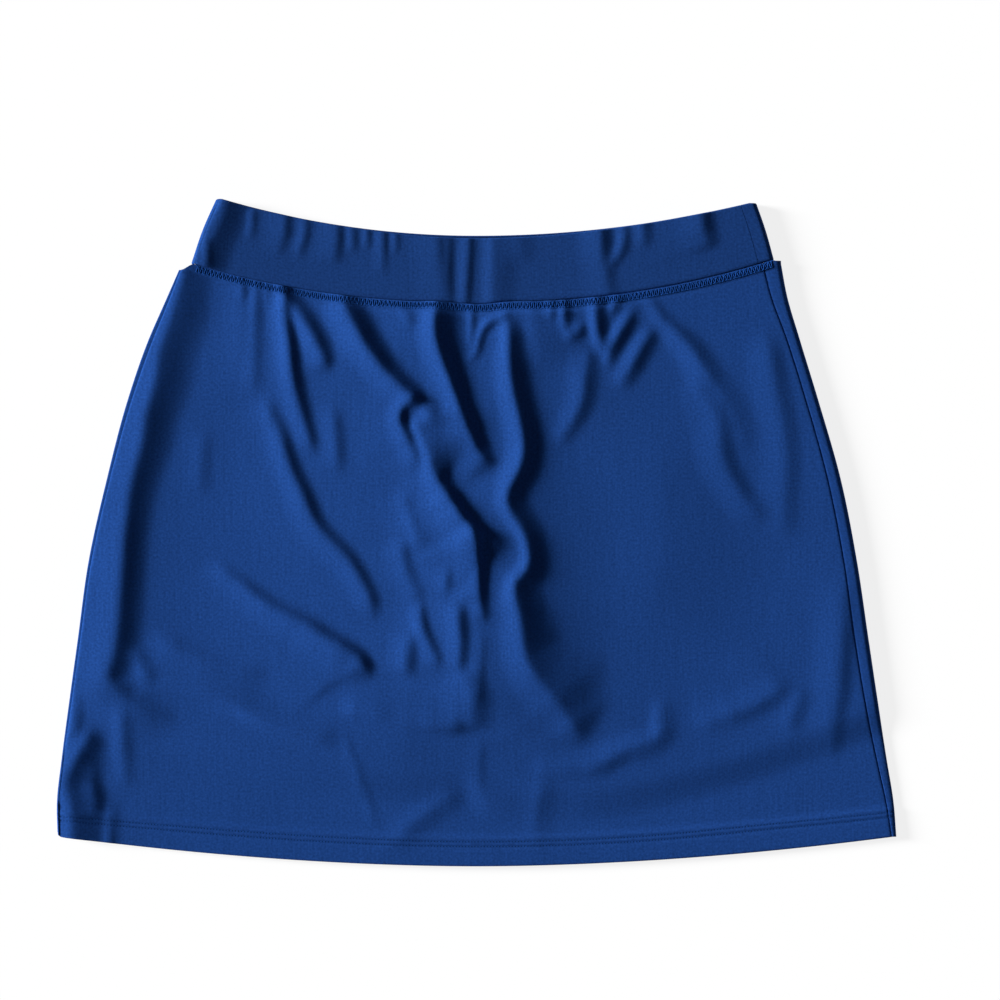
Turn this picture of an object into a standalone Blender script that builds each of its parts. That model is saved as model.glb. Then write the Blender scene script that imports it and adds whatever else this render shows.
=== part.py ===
"""A golf skort laid flat, face up: a gathered A-line skirt on an elastic waistband, over inner shorts.

+X runs across the garment, +Y from the hem to the waist and +Z up from the surface it lies on. The
origin is at the middle of the garment's outline, on that surface. Tables are in millimetres, and MM
turns them into metres. Each cut piece is a wall of cloth, worked out row by row from the hem up.
"""
from typing import NamedTuple

import bpy
import numpy as np

MM = 0.001

# The cloth and how it is sewn
SKIRT_WALL = 1.2 * MM
HEM_WALL = 1.8 * MM
HEM_DEPTH = 18.5 * MM
BAND_WALL = 2.2 * MM
BAND_GAP = 0.6 * MM
SEAM_GAP = 0.3 * MM
PLY_GAP = 0.3 * MM

# The outline of the whole garment
HEM_LOWEST = -225.5 * MM
HEM_RISE = 20.2 * MM
HEM_HALF_WIDTH = 283.5 * MM
HEM_CURVE = 1.85
WAIST_SEAM_LOWEST = 155.2 * MM
WAIST_SEAM_RISE = 27.5 * MM
WAIST_SEAM_HALF_WIDTH = 195 * MM
WAIST_SEAM_CURVE = 2.2
WAIST_TOP_LOWEST = 200.2 * MM
WAIST_TOP_RISE_LEFT = 27 * MM
WAIST_TOP_RISE_RIGHT = 21 * MM
WAIST_TOP_HALF_WIDTH = 180 * MM
BACK_WAIST_SHOWS = 1.8 * MM
BACK_WAIST_SPAN = 144 * MM
SEAM_WAVE = 1.0 * MM
SEAM_WAVE_SPACING = 30 * MM
SHOULDER_DROP = 7 * MM
SHOULDER_WIDTH = 11 * MM
SHOULDER_EASE = 3 * MM
WAIST_CORNERS = (-174.6 * MM, 187.0 * MM)
WAIST_CORNER_ROUND = 3 * MM
HEM_CORNER = -283.2 * MM
HEM_CORNER_ROUND = 4 * MM

# The right side: the back comes round the fold, and its seam lies on the face
FOLD_ROUND = 4 * MM
BAND_SEAM_INSET = 10.8 * MM
LEFT_ROLL = 3.1 * MM
LEFT_ROLL_CLEARANCE = 0.4 * MM
LEFT_ROLL_DEPTH = 0.6

# The inner shorts
SHORTS_SIDE_INSET = 22 * MM
SHORTS_CROTCH = -75 * MM
SHORTS_HEM_MIDDLE = -150 * MM
SHORTS_HEM_STEP = 6 * MM
SHORTS_HEM_RISE = 42 * MM
SHORTS_HEM_RISE_FROM = 70 * MM
SHORTS_HEM_RISE_OVER = 160 * MM
SHORTS_HEM_CURVE = 1.4
SHORTS_LEG_PARTING = 9 * MM
DRAPE_MARGIN = 16 * MM
DRAPE_SLOPE = 26 * MM
LEFT_MARGIN = 8 * MM
RIGHT_MARGIN = 16 * MM

# How folds meet their surroundings
CREST_EDGE = 0.5
FOLD_END_WIDTH = 0.45
FOLD_FREE_EDGE = 8 * MM
BAND_FREE_EDGE = 12 * MM
WAIST_HOLDS = 0.05
WAIST_LIFT = 0.35
HEM_STEP = 6 * MM
STEEPEST_WALL = 1.5
SHARP_ANGLE = np.radians(50)
SAME_PLACE = 1e-6
SETTLING_STEPS = 30

# How finely each piece is divided
FRONT_ROWS = 31
FRONT_COLUMNS = 80
BACK_ROWS = 17
BACK_COLUMNS = 15
BACK_TURN = (-67.5, -45.0, -22.5, 0.0, 22.5, 45.0, 67.5)
BAND_COLUMNS = 60
BAND_BACK_COLUMNS = 25
BAND_TURN = (-60.0, -30.0, 0.0, 30.0, 60.0)
LEFT_ROLL_BENDS = (180.0, 157.5, 135.0, 112.5)
FACE_PLACES = np.array([[1.0, 0.5, 0.0]])
FOLD_SHARE = 0.75
SHORTS_ROWS = 11
SHORTS_COLUMNS = 11

CLOTH_BLUE = (0.012, 0.047, 0.205, 1.0)
SHORTS_BLUE = (0.010, 0.040, 0.175, 1.0)
CLOTH_ROUGHNESS = 0.82


class SideStation(NamedTuple):
    """The skirt's outline at one height: its two side edges, and how far in the right seam lies."""

    height: float
    left: float
    right: float
    seam_inset: float
    back_shows: float


SKIRT_SIDES = (
    SideStation(height=-206, left=-283.0, right=283.6, seam_inset=3.0, back_shows=0.6),
    SideStation(height=-181, left=-283.4, right=281.6, seam_inset=5.0, back_shows=0.8),
    SideStation(height=-154, left=-280.4, right=277.2, seam_inset=6.6, back_shows=1.0),
    SideStation(height=-113, left=-275.0, right=270.8, seam_inset=8.6, back_shows=1.6),
    SideStation(height=-73, left=-269.5, right=264.8, seam_inset=9.2, back_shows=1.8),
    SideStation(height=-19, left=-262.0, right=256.7, seam_inset=8.8, back_shows=2.0),
    SideStation(height=35, left=-250.0, right=245.9, seam_inset=8.8, back_shows=2.2),
    SideStation(height=89, left=-235.8, right=230.4, seam_inset=8.4, back_shows=3.0),
    SideStation(height=130, left=-221.6, right=217.8, seam_inset=8.8, back_shows=3.4),
    SideStation(height=157, left=-209.8, right=209.8, seam_inset=10.6, back_shows=2.6),
    SideStation(height=179, left=-200.2, right=205.6, seam_inset=12.0, back_shows=1.4),
)


class BandStation(NamedTuple):
    """The waistband's outline at one height."""

    height: float
    left: float
    right: float


BAND_SIDES = (
    BandStation(height=182, left=-192.6, right=201.6),
    BandStation(height=204, left=-184.6, right=195.0),
    BandStation(height=225, left=-174.6, right=187.0),
)


class Fold(NamedTuple):
    """A ridge of cloth, its crest drawn through a few points.

    Seen from the crest's first point to its last, the cloth falls steeply on the left hand and rises
    gently on the right hand. `easing` is the share of its length over which each end dies away.
    """

    name: str
    crest: tuple
    height: float
    rise: float
    fall: float
    easing: tuple = (0.12, 0.25)


SKIRT_FOLDS = (
    Fold("left side roll", ((-180, 181), (-208, 143), (-218, 89), (-232, 24), (-241, -40), (-247, -97)),
         height=6.0, rise=18, fall=15, easing=(0.05, 0.1)),
    Fold("hook under the side roll", ((-250, -98), (-243, -108), (-225, -121)),
         height=3.0, rise=14, fall=10, easing=(0.3, 0.35)),
    Fold("left hem corner", ((-260, -132), (-271, -156), (-275, -172), (-267, -186)),
         height=3.4, rise=9, fall=13, easing=(0.25, 0.2)),
    Fold("left hem corner, inner", ((-255, -156), (-263, -183), (-263, -212)),
         height=4.6, rise=10, fall=14, easing=(0.25, 0.03)),
    Fold("left hem, soft upright", ((-244, -112), (-240, -146), (-236, -174)),
         height=2.0, rise=14, fall=13, easing=(0.3, 0.4)),
    Fold("short tuck, left", ((-128, 163), (-113, 141), (-102, 118)),
         height=3.4, rise=9, fall=9, easing=(0.05, 0.4)),
    Fold("long soft line, left", ((-128, 152), (-121, 108), (-111, 52)),
         height=3.4, rise=14, fall=9, easing=(0.25, 0.4)),
    Fold("long diagonal, left", ((-140, 90), (-120, 34), (-94, -9), (-69, -58)),
         height=3.9, rise=26, fall=10, easing=(0.25, 0.25)),
    Fold("low diagonal, left", ((-176, -27), (-130, -54), (-88, -80), (-71, -101)),
         height=3.3, rise=26, fall=11, easing=(0.4, 0.15)),
    Fold("bulge over the left leg", ((-80, -98), (-66, -117), (-72, -126)),
         height=2.2, rise=20, fall=9, easing=(0.35, 0.25)),
    Fold("hooked fold", ((-86, 157), (-75, 131), (-57, 107), (-30, 81)),
         height=6.2, rise=25, fall=13, easing=(0.03, 0.08)),
    Fold("curl below the hooked fold", ((-36, 89), (-51, 82), (-48, 64), (-41, 54)),
         height=3.2, rise=10, fall=8, easing=(0.2, 0.35)),
    Fold("short steep fold", ((-40, 82), (-33, 55), (-20, 31), (-6, 9), (18, -13)),
         height=5.4, rise=13, fall=10, easing=(0.35, 0.12)),
    Fold("upright, centre", ((-10, 8), (1, -14), (2, -44), (6, -60)),
         height=4.6, rise=24, fall=9, easing=(0.2, 0.15)),
    Fold("deepest fold", ((-28, 158), (-25, 130), (-9, 88), (2, 60), (14, 41)),
         height=8.0, rise=21, fall=13, easing=(0.03, 0.08)),
    Fold("centre right, upper", ((20, 136), (26, 105), (32, 70), (24, 30), (21, 18)),
         height=7.0, rise=17, fall=17, easing=(0.1, 0.1)),
    Fold("centre right, lower", ((21, 24), (35, -15), (28, -41), (39, -84), (77, -142)),
         height=7.2, rise=18, fall=21, easing=(0.08, 0.25)),
    Fold("gather right of centre", ((79, 155), (82, 137), (87, 124)),
         height=3.4, rise=9, fall=9, easing=(0.02, 0.3)),
    Fold("short diagonal, right", ((103, 143), (94, 128), (91, 112)),
         height=3.1, rise=9, fall=9, easing=(0.15, 0.2)),
    Fold("second diagonal, right", ((119, 132), (104, 112), (94, 97)),
         height=2.9, rise=9, fall=10, easing=(0.2, 0.25)),
    Fold("soft arc, right", ((75, 121), (72, 90), (53, 60)),
         height=2.7, rise=22, fall=10, easing=(0.3, 0.3)),
    Fold("strong diagonal, right", ((119, 151), (132, 134), (147, 117), (161, 98)),
         height=3.2, rise=13, fall=10, easing=(0.12, 0.3)),
    Fold("soft diagonal, far right", ((160, 58), (172, 31), (194, 11)),
         height=2.2, rise=18, fall=11, easing=(0.25, 0.35)),
    Fold("right side roll", ((193, 140), (203, 84), (208, -12)),
         height=2.6, rise=28, fall=13, easing=(0.15, 0.4)),
    Fold("right leg's hem", ((136, -138), (92, -154), (52, -160)),
         height=2.2, rise=14, fall=11, easing=(0.2, 0.3)),
)

BAND_FOLDS = (
    Fold("rounded left end", ((-166, 228), (-171, 205), (-177, 180)),
         height=3.6, rise=13, fall=14, easing=(0.01, 0.01)),
    Fold("left of centre", ((-94, 207), (-94, 184)), height=1.3, rise=12, fall=7),
    Fold("centre, broad", ((-22, 202), (-22, 158)), height=1.4, rise=14, fall=9, easing=(0.05, 0.1)),
    Fold("centre, narrow", ((-8, 202), (-9, 157)), height=1.7, rise=7, fall=6, easing=(0.03, 0.03)),
    Fold("right, forked", ((83, 206), (85, 185), (90, 160)), height=2.1, rise=11, fall=9,
         easing=(0.02, 0.5)),
    Fold("right end, soft", ((150, 216), (155, 198)), height=1.5, rise=15, fall=12, easing=(0.03, 0.5)),
)


def read_table(stations, column, height):
    """One column of a table of stations, as a smooth curve read at a height in metres."""
    heights = np.array([row.height for row in stations]) * MM
    values = np.array([getattr(row, column) for row in stations]) * MM
    slopes = np.gradient(values, heights)
    height = np.clip(height, heights[0], heights[-1])
    low = np.clip(np.searchsorted(heights, height) - 1, 0, len(heights) - 2)
    span = heights[low + 1] - heights[low]
    t = (height - heights[low]) / span
    return (values[low] * (1 + 2 * t) * (1 - t) ** 2 + values[low + 1] * t * t * (3 - 2 * t)
            + span * (slopes[low] * t * (1 - t) ** 2 - slopes[low + 1] * t * t * (1 - t)))


def ease(t):
    """A smooth step from 0 to 1."""
    t = np.clip(t, 0, 1)
    return t * t * (3 - 2 * t)


def corner_round(x, corner, radius, side):
    """How far a level edge turns away at its end, round a corner that faces side (-1 left, 1 right)."""
    into = np.clip(1 - side * (corner - x) / radius, 0, 1)
    return radius * (1 - np.sqrt(1 - into ** 2))


def hem_line(x):
    curve = HEM_LOWEST + HEM_RISE * np.abs(x / HEM_HALF_WIDTH) ** HEM_CURVE
    return curve + corner_round(x, HEM_CORNER, HEM_CORNER_ROUND, -1)


def waist_seam(x):
    """The seam between skirt and waistband. It waves a little where the skirt is gathered."""
    curve = WAIST_SEAM_LOWEST + WAIST_SEAM_RISE * np.abs(x / WAIST_SEAM_HALF_WIDTH) ** WAIST_SEAM_CURVE
    wave = np.cos(np.pi * x / SEAM_WAVE_SPACING) * ease(1 - np.abs(x) / (2 * SEAM_WAVE_SPACING))
    return curve - SEAM_WAVE * wave


def waist_top(x):
    rise = np.where(np.asarray(x) < 0, WAIST_TOP_RISE_LEFT, WAIST_TOP_RISE_RIGHT)
    left, right = WAIST_CORNERS
    rounding = (corner_round(x, left, WAIST_CORNER_ROUND, -1)
                + corner_round(x, right, WAIST_CORNER_ROUND, 1))
    return WAIST_TOP_LOWEST + rise * (x / WAIST_TOP_HALF_WIDTH) ** 2 - rounding


def skirt_top(x):
    """The skirt's sewn edge. It runs along the waist seam and drops where the skirt is the wider."""
    left = band_left(BAND_SIDES[0].height * MM) + SHOULDER_EASE - x
    right = x - band_right(BAND_SIDES[0].height * MM) + SHOULDER_EASE
    drop = ease(left / SHOULDER_WIDTH) + ease(right / SHOULDER_WIDTH)
    return waist_seam(x) - SEAM_GAP - SHOULDER_DROP * drop


def skirt_left(y):
    return read_table(SKIRT_SIDES, "left", y)


def skirt_right(y):
    return read_table(SKIRT_SIDES, "right", y)


def band_left(y):
    return read_table(BAND_SIDES, "left", y)


def band_right(y):
    return read_table(BAND_SIDES, "right", y)


def corner_x(level, side):
    """Where a side edge, an x for a height, meets a level edge, a height for an x."""
    x = side(level(0.0))
    for _ in range(SETTLING_STEPS):
        x = side(level(x))
    return x


def mix(start, end, share):
    return start + (end - start) * share


def patch(bottom, top, left, right, u, v):
    """Points of a panel whose four edges are curves; u runs across and v from the bottom up.

    bottom and top give a height for an x; left and right give an x for a height.
    """
    low_left, low_right = corner_x(bottom, left), corner_x(bottom, right)
    high_left, high_right = corner_x(top, left), corner_x(top, right)
    low_x = mix(low_left, low_right, u)
    high_x = mix(high_left, high_right, u)
    left_y = mix(bottom(low_left), top(high_left), v)
    right_y = mix(bottom(low_right), top(high_right), v)
    side_x = mix(left(left_y), right(right_y), u)
    straight_side_x = mix(mix(low_left, high_left, v), mix(low_right, high_right, v), u)
    return mix(low_x, high_x, v) + side_x - straight_side_x, mix(bottom(low_x), top(high_x), v)


def skirt_point(u, v):
    """A point of the skirt's whole outline, at u of its width and v of its length."""
    return patch(hem_line, skirt_top, skirt_left, skirt_right, u, v)


def band_point(u, v, raised=0.0):
    """A point of the waistband's outline; raised lifts the top edge in its middle."""
    def top(x):
        return waist_top(x) - (BACK_WAIST_SHOWS - raised) * ease(1 - np.abs(x / BACK_WAIST_SPAN))

    return patch(waist_seam, top, band_left, band_right, u, v)


def smooth_line(points, steps=8):
    """A smooth line through a few points in millimetres, as many short runs in metres."""
    knots = np.array(points, float) * MM
    slopes = np.gradient(knots, axis=0)
    t = np.linspace(0, len(knots) - 1, steps * (len(knots) - 1) + 1)
    low = np.minimum(t.astype(int), len(knots) - 2)
    t = (t - low)[:, None]
    return (knots[low] * (1 + 2 * t) * (1 - t) ** 2 + knots[low + 1] * t * t * (3 - 2 * t)
            + slopes[low] * t * (1 - t) ** 2 - slopes[low + 1] * t * t * (1 - t))


def beside_line(x, y, line):
    """For each point, its distance from a line, signed by the side, and its place along the line."""
    start, step = line[:-1], np.diff(line, axis=0)
    run = np.hypot(*step.T)
    travelled = np.concatenate([[0], np.cumsum(run)])
    off_x = x[..., None] - start[:, 0]
    off_y = y[..., None] - start[:, 1]
    along = np.clip((off_x * step[:, 0] + off_y * step[:, 1]) / run ** 2, 0, 1)
    gap = np.hypot(off_x - along * step[:, 0], off_y - along * step[:, 1])
    side = np.sign(step[:, 0] * off_y - step[:, 1] * off_x)
    near = gap.argmin(axis=-1)[..., None]
    travel = (travelled[:-1] + along * run) / travelled[-1]
    aside, place = (np.take_along_axis(values, near, -1)[..., 0] for values in (gap * side, travel))
    return aside, place


def fold_height(x, y, folds):
    """How far the folds lift the cloth at each point."""
    lift = np.zeros(np.broadcast(x, y).shape)
    x, y = np.broadcast_arrays(x, y)
    for fold in folds:
        aside, place = beside_line(x, y, smooth_line(fold.crest))
        ends = ease(place / fold.easing[0]) * ease((1 - place) / fold.easing[1])
        reach = np.where(aside > 0, fold.fall, fold.rise) * MM * mix(FOLD_END_WIDTH, 1, ends)
        out = np.clip(np.abs(aside) / reach, 0, 1)
        lift += fold.height * MM * ends * (1 - out) ** 2 * (1 + 2 * out * (1 - CREST_EDGE))
    return lift


def shorts_hem(x):
    """The legs' lower edges: each is lowest inside and climbs outward as it lies."""
    outward = np.clip((np.abs(x) - SHORTS_HEM_RISE_FROM) / SHORTS_HEM_RISE_OVER, 0, None)
    return SHORTS_HEM_MIDDLE - SHORTS_HEM_STEP * np.sign(x) + SHORTS_HEM_RISE * outward ** SHORTS_HEM_CURVE


def over_shorts(x, y):
    """1 where the skirt lies on the shorts, falling to 0 a little way outside them."""
    left = (x - skirt_left(y)) / (SHORTS_SIDE_INSET - LEFT_MARGIN)
    right = (skirt_right(y) - x) / (SHORTS_SIDE_INSET - RIGHT_MARGIN)
    below = 1 + (y - shorts_hem(x) + DRAPE_MARGIN) / DRAPE_SLOPE
    return ease(left) * ease(right) * ease(below)


def hem_share(x, y):
    """1 in the turned-up hem and 0 above it."""
    return ease(1 - (y - hem_line(x) - HEM_DEPTH) / HEM_STEP)


def skirt_wall(x, y):
    return mix(SKIRT_WALL, HEM_WALL, hem_share(x, y))


def skirt_underside(x, y):
    """The height of the front's inner face before its folds."""
    on_back = SKIRT_WALL + PLY_GAP
    on_shorts = on_back + 2 * (SKIRT_WALL + PLY_GAP)
    return mix(on_back, on_shorts, over_shorts(x, y)) + (HEM_WALL - SKIRT_WALL) * hem_share(x, y)


def edge_share(x, y, left, right, reach):
    """0 at a panel's side edges, 1 a little way inside them: folds die out towards the edges."""
    return ease(np.minimum(x - left(y), right(y) - x) / reach)


def face_height(x, y, v):
    """The height of the middle of the cloth all over the skirt's face."""
    held = mix(WAIST_LIFT, 1, ease((1 - v) / WAIST_HOLDS))
    free = edge_share(x, y, skirt_left, skirt_right, FOLD_FREE_EDGE)
    lift = fold_height(x, y, SKIRT_FOLDS) * free * held
    return skirt_underside(x, y) + skirt_wall(x, y) / 2 + lift


def columns(count, centre=0.5, spread=0.2, crowd=1.3):
    """Places across a panel from 0 to 1, closer together around its centre."""
    fine = np.linspace(0, 1, 2001)
    density = 1 + crowd * np.exp(-((fine - centre) / spread) ** 2)
    total = np.concatenate([[0], np.cumsum((density[1:] + density[:-1]) / 2)])
    return np.interp(np.linspace(0, total[-1], count + 1), total, fine)


def hem_rows(count, length):
    """Places up a panel from 0 at the hem to 1, with rows at the hem's sewn line."""
    hem = HEM_DEPTH / length
    return np.concatenate([[0, hem / 2, hem], np.linspace(hem + HEM_STEP / length, 1, count)])


def new_material(name, colour):
    material = bpy.data.materials.new(name)
    material.use_nodes = True
    shader = material.node_tree.nodes["Principled BSDF"]
    shader.inputs["Base Color"].default_value = colour
    shader.inputs["Roughness"].default_value = CLOTH_ROUGHNESS
    shader.inputs["Metallic"].default_value = 0.0
    return material


def add_wall(name, outer, inner, material):
    """A closed wall of cloth between two grids of points, rows by columns."""
    rows, cols = outer.shape[:2]
    points = np.concatenate([outer.reshape(-1, 3), inner.reshape(-1, 3)])
    under = rows * cols

    def at(row, col):
        return row * cols + col

    faces = []
    for row in range(rows - 1):
        for col in range(cols - 1):
            a, b = at(row, col), at(row, col + 1)
            c, d = at(row + 1, col + 1), at(row + 1, col)
            rising = abs(points[a][2] - points[c][2]) > abs(points[b][2] - points[d][2])
            halves = ((a, b, d), (b, c, d)) if rising else ((a, b, c), (a, c, d))
            for half in halves:
                faces.append(half)
                faces.append(tuple(under + corner for corner in reversed(half)))
    rim = [at(0, col) for col in range(cols)] + [at(row, cols - 1) for row in range(1, rows)]
    rim += [at(rows - 1, col) for col in range(cols - 2, -1, -1)]
    rim += [at(row, 0) for row in range(rows - 2, 0, -1)]
    for here, there in zip(rim, rim[1:] + rim[:1]):
        faces.append((here, under + here, under + there))
        faces.append((here, under + there, there))
    mesh = bpy.data.meshes.new(name)
    mesh.from_pydata(points.tolist(), [], faces)
    mesh.shade_smooth()
    mesh.set_sharp_from_angle(angle=SHARP_ANGLE)
    mesh.materials.append(material)
    piece = bpy.data.objects.new(name, mesh)
    bpy.context.scene.collection.objects.link(piece)
    return piece


def lifted(x, y, z):
    return np.stack(np.broadcast_arrays(x, y, z), axis=-1)


def slope_factor(x, y, z):
    """How much taller than its wall a sloping cloth is, measured upright."""
    slope = 0
    for axis in (0, 1):
        along = np.maximum(np.hypot(np.gradient(x, axis=axis), np.gradient(y, axis=axis)), SAME_PLACE)
        slope = slope + (np.gradient(z, axis=axis) / along) ** 2
    return np.minimum(np.sqrt(1 + slope), STEEPEST_WALL)


def skirt_length():
    return waist_seam(0) - hem_line(0)


def width_of(point, v):
    """How wide a panel is at each row."""
    return point(1.0, v)[0] - point(0.0, v)[0]


def seam_place(v, offset):
    """The right side seam's place across the skirt at each row, moved in by offset."""
    _, y = skirt_point(1.0, v)
    inset = read_table(SKIRT_SIDES, "seam_inset", y)
    return 1 - (inset + offset) / width_of(skirt_point, v)


def across_path(path, hand):
    """Unit normals of rows of points that run across a piece, turned with its bends."""
    way = np.gradient(path, axis=1)
    normal = hand * np.stack([-way[..., 2], np.zeros(way.shape[:2]), way[..., 0]], axis=-1)
    return normal / np.linalg.norm(normal, axis=-1, keepdims=True)


def build_skirt_front(material):
    """The front panel: from the back's showing edge on the left to the seam on the right."""
    v = hem_rows(FRONT_ROWS, skirt_length())[:, None]
    _, left_y = skirt_point(0.0, v)
    start = read_table(SKIRT_SIDES, "back_shows", left_y) / width_of(skirt_point, v)
    end = seam_place(v, SEAM_GAP / 2)
    u = mix(start, end, columns(FRONT_COLUMNS, centre=0.46, spread=0.2, crowd=0.9)[None, :])
    x, y = skirt_point(u, v)
    middle = face_height(x, y, v)
    half = skirt_wall(x, y) / 2
    inner = middle - half
    outer = inner + 2 * half * slope_factor(x, y, middle)
    return add_wall("skirt_front", lifted(x, y, outer), lifted(x, y, inner), material)


def build_skirt_back(material):
    """The back panel: flat on the surface, round the right fold and in to the seam on the face."""
    v = hem_rows(BACK_ROWS, skirt_length())[:, None]
    edge_x, edge_y = skirt_point(1.0, v)
    width = width_of(skirt_point, v)
    wall = skirt_wall(edge_x, edge_y)
    inset = read_table(SKIRT_SIDES, "seam_inset", edge_y)
    fold_round = np.minimum(FOLD_ROUND, inset * FOLD_SHARE)

    x, y = skirt_point(np.linspace(0, 1, BACK_COLUMNS)[None, :] * (1 - fold_round / width), v)
    flat = lifted(x, y, wall / 2)
    x, y = skirt_point(mix(seam_place(v, -SEAM_GAP / 2), 1 - fold_round / width, FACE_PLACES), v)
    face = lifted(x, y, face_height(x, y, v))
    turn = right_turn(flat, face, fold_round - wall / 2, BACK_TURN)

    path = np.concatenate([flat, turn, face], axis=1)
    normal = across_path(path, -1)
    normal[:, :BACK_COLUMNS] = (0, 0, -1)
    normal[:, -FACE_PLACES.size:] = (0, 0, 1)
    offset = normal * (wall / 2)[..., None]
    return add_wall("skirt_back", path - offset, path + offset, material)


def right_turn(flat, face, radius, bends):
    """Rows of points round the right fold, from a flat ply's last column up to the face's first."""
    bend = np.radians(bends)[None, :]
    low, high = flat[:, -1:, 2], face[:, :1, 2]
    return lifted(flat[:, -1:, 0] + radius * np.cos(bend), flat[:, -1:, 1],
                  (low + high) / 2 + (high - low) / 2 * np.sin(bend))


def band_height(x, y):
    """The height of the middle of the front waistband."""
    free = edge_share(x, y, band_left, band_right, BAND_FREE_EDGE)
    return BAND_WALL + BAND_GAP + BAND_WALL / 2 + fold_height(x, y, BAND_FOLDS) * free


class BandRow(NamedTuple):
    """A row up the waistband: its place from seam to top edge, and the share of the wall it has there."""

    place: float
    wall_share: float


BAND_ROWS = (
    BandRow(place=0.0, wall_share=1.0),
    BandRow(place=0.34, wall_share=1.0),
    BandRow(place=0.68, wall_share=1.0),
    BandRow(place=0.955, wall_share=1.0),
    BandRow(place=0.985, wall_share=0.78),
    BandRow(place=1.0, wall_share=0.38),
)


def band_rows():
    """The rows' places and wall shares, each as a column."""
    place = np.array([row.place for row in BAND_ROWS])[:, None]
    share = np.array([row.wall_share for row in BAND_ROWS])[:, None]
    return place, share


def band_grid(u, v, raised=0.0):
    """Points of the waistband, its lowest row half a seam's gap above the seam."""
    x, y = band_point(u, v, raised)
    y[0] += SEAM_GAP / 2
    return x, y


def build_waistband_front(material):
    """The front of the waistband, turned down at its left end and sewn to the back near the right fold."""
    v, share = band_rows()
    width = width_of(band_point, v)
    start = LEFT_ROLL / width
    end = 1 - (BAND_SEAM_INSET + SEAM_GAP / 2) / width
    u = mix(start, end, columns(BAND_COLUMNS, centre=0.4, spread=0.5, crowd=0.5)[None, :])
    x, y = band_grid(u, v)
    flat = lifted(x, y, band_height(x, y))
    bend = np.radians(LEFT_ROLL_BENDS)[None, :]
    radius = LEFT_ROLL - BAND_WALL / 2
    drop = flat[:, :1, 2] - BAND_WALL / 2 - LEFT_ROLL_CLEARANCE
    turn_x = flat[:, :1, 0] + radius * np.cos(bend)
    turn_z = flat[:, :1, 2] - drop * LEFT_ROLL_DEPTH * (1 - np.sin(bend))
    foot = lifted(turn_x[:, :1], y[:, :1], BAND_WALL / 4)
    path = np.concatenate([foot, lifted(turn_x, y[:, :1], turn_z), flat], axis=1)
    normal = across_path(path, 1)
    normal[:, :2] = (-1, 0, 0)
    normal[:, -1:] = (0, 0, 1)
    offset = normal * (share * BAND_WALL / 2)[..., None]
    return add_wall("waistband_front", path + offset, path - offset, material)


def build_waistband_back(material):
    """The back of the waistband: flat on the surface, round the right fold and in to its seam."""
    v, share = band_rows()
    width = width_of(band_point, v)
    start = (BAND_WALL + 2 * SEAM_GAP) / width
    radius = (BAND_WALL + BAND_GAP) / 2 + BAND_WALL / 2
    u = mix(start, 1 - radius / width, np.linspace(0, 1, BAND_BACK_COLUMNS)[None, :])
    x, y = band_grid(u, v, raised=BACK_WAIST_SHOWS)
    flat = lifted(x, y, np.full(x.shape, BAND_WALL / 2))
    x, y = band_grid(1 - mix(BAND_SEAM_INSET - SEAM_GAP / 2, radius, FACE_PLACES) / width, v)
    face = lifted(x, y, band_height(x, y))
    turn = right_turn(flat, face, radius - BAND_WALL / 2, BAND_TURN)
    path = np.concatenate([flat, turn, face], axis=1)
    normal = across_path(path, -1)
    normal[:, :BAND_BACK_COLUMNS] = (0, 0, -1)
    normal[:, -FACE_PLACES.size:] = (0, 0, 1)
    offset = normal * (share * BAND_WALL / 2)[..., None]
    offset[:, :BAND_BACK_COLUMNS] = normal[:, :BAND_BACK_COLUMNS] * BAND_WALL / 2
    return add_wall("waistband_back", path - offset, path + offset, material)


def build_shorts_panel(name, side, layer, material):
    """One of the four panels of the inner shorts: side is -1 left or 1 right, layer 1 back or 2 front."""
    def inner_edge(y):
        parted = SHORTS_LEG_PARTING * ease((SHORTS_CROTCH - y) / (SHORTS_CROTCH - SHORTS_HEM_MIDDLE))
        return side * (SEAM_GAP / 2 + parted)

    def outer_edge(y):
        return (skirt_left if side < 0 else skirt_right)(y) - side * SHORTS_SIDE_INSET

    def hem(x):
        return shorts_hem(side * np.abs(x))

    left, right = (outer_edge, inner_edge) if side < 0 else (inner_edge, outer_edge)
    u = np.linspace(0, 1, SHORTS_COLUMNS)[None, :]
    v = np.linspace(0, 1, SHORTS_ROWS)[:, None]
    low_x = mix(corner_x(hem, left), corner_x(hem, right), u)
    high_x = mix(corner_x(skirt_top, left), corner_x(skirt_top, right), u)
    y = mix(hem(low_x), skirt_top(high_x), v)
    x = mix(left(y), right(y), u)
    base = layer * (SKIRT_WALL + PLY_GAP)
    return add_wall(name, lifted(x, y, base + SKIRT_WALL), lifted(x, y, base), material)


def main():
    for old in list(bpy.data.objects):
        bpy.data.objects.remove(old, do_unlink=True)
    cloth = new_material("skirt cloth", CLOTH_BLUE)
    band_cloth = new_material("waistband cloth", CLOTH_BLUE)
    shorts_cloth = new_material("shorts cloth", SHORTS_BLUE)
    build_skirt_front(cloth)
    build_skirt_back(cloth)
    build_waistband_front(band_cloth)
    build_waistband_back(band_cloth)
    for layer, face in ((1, "back"), (2, "front")):
        for side, hand in ((-1, "left"), (1, "right")):
            build_shorts_panel(f"shorts_{face}_{hand}", side, layer, shorts_cloth)


main()
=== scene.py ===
"""The looks of a golf skort that lies flat, face up, on a pale floor.

Every cut piece is a thin shell of cloth on the form of its own solid, in the solids' frame: +X runs across
the garment, +Y from the hem to the waist and +Z up from the floor. Tables are in millimetres, and MM turns
them into metres. The folds are rows of one table, melted together into one smooth relief.
"""

import logging
import math
from collections.abc import Callable, Sequence
from dataclasses import dataclass, field
from enum import Enum

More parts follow.
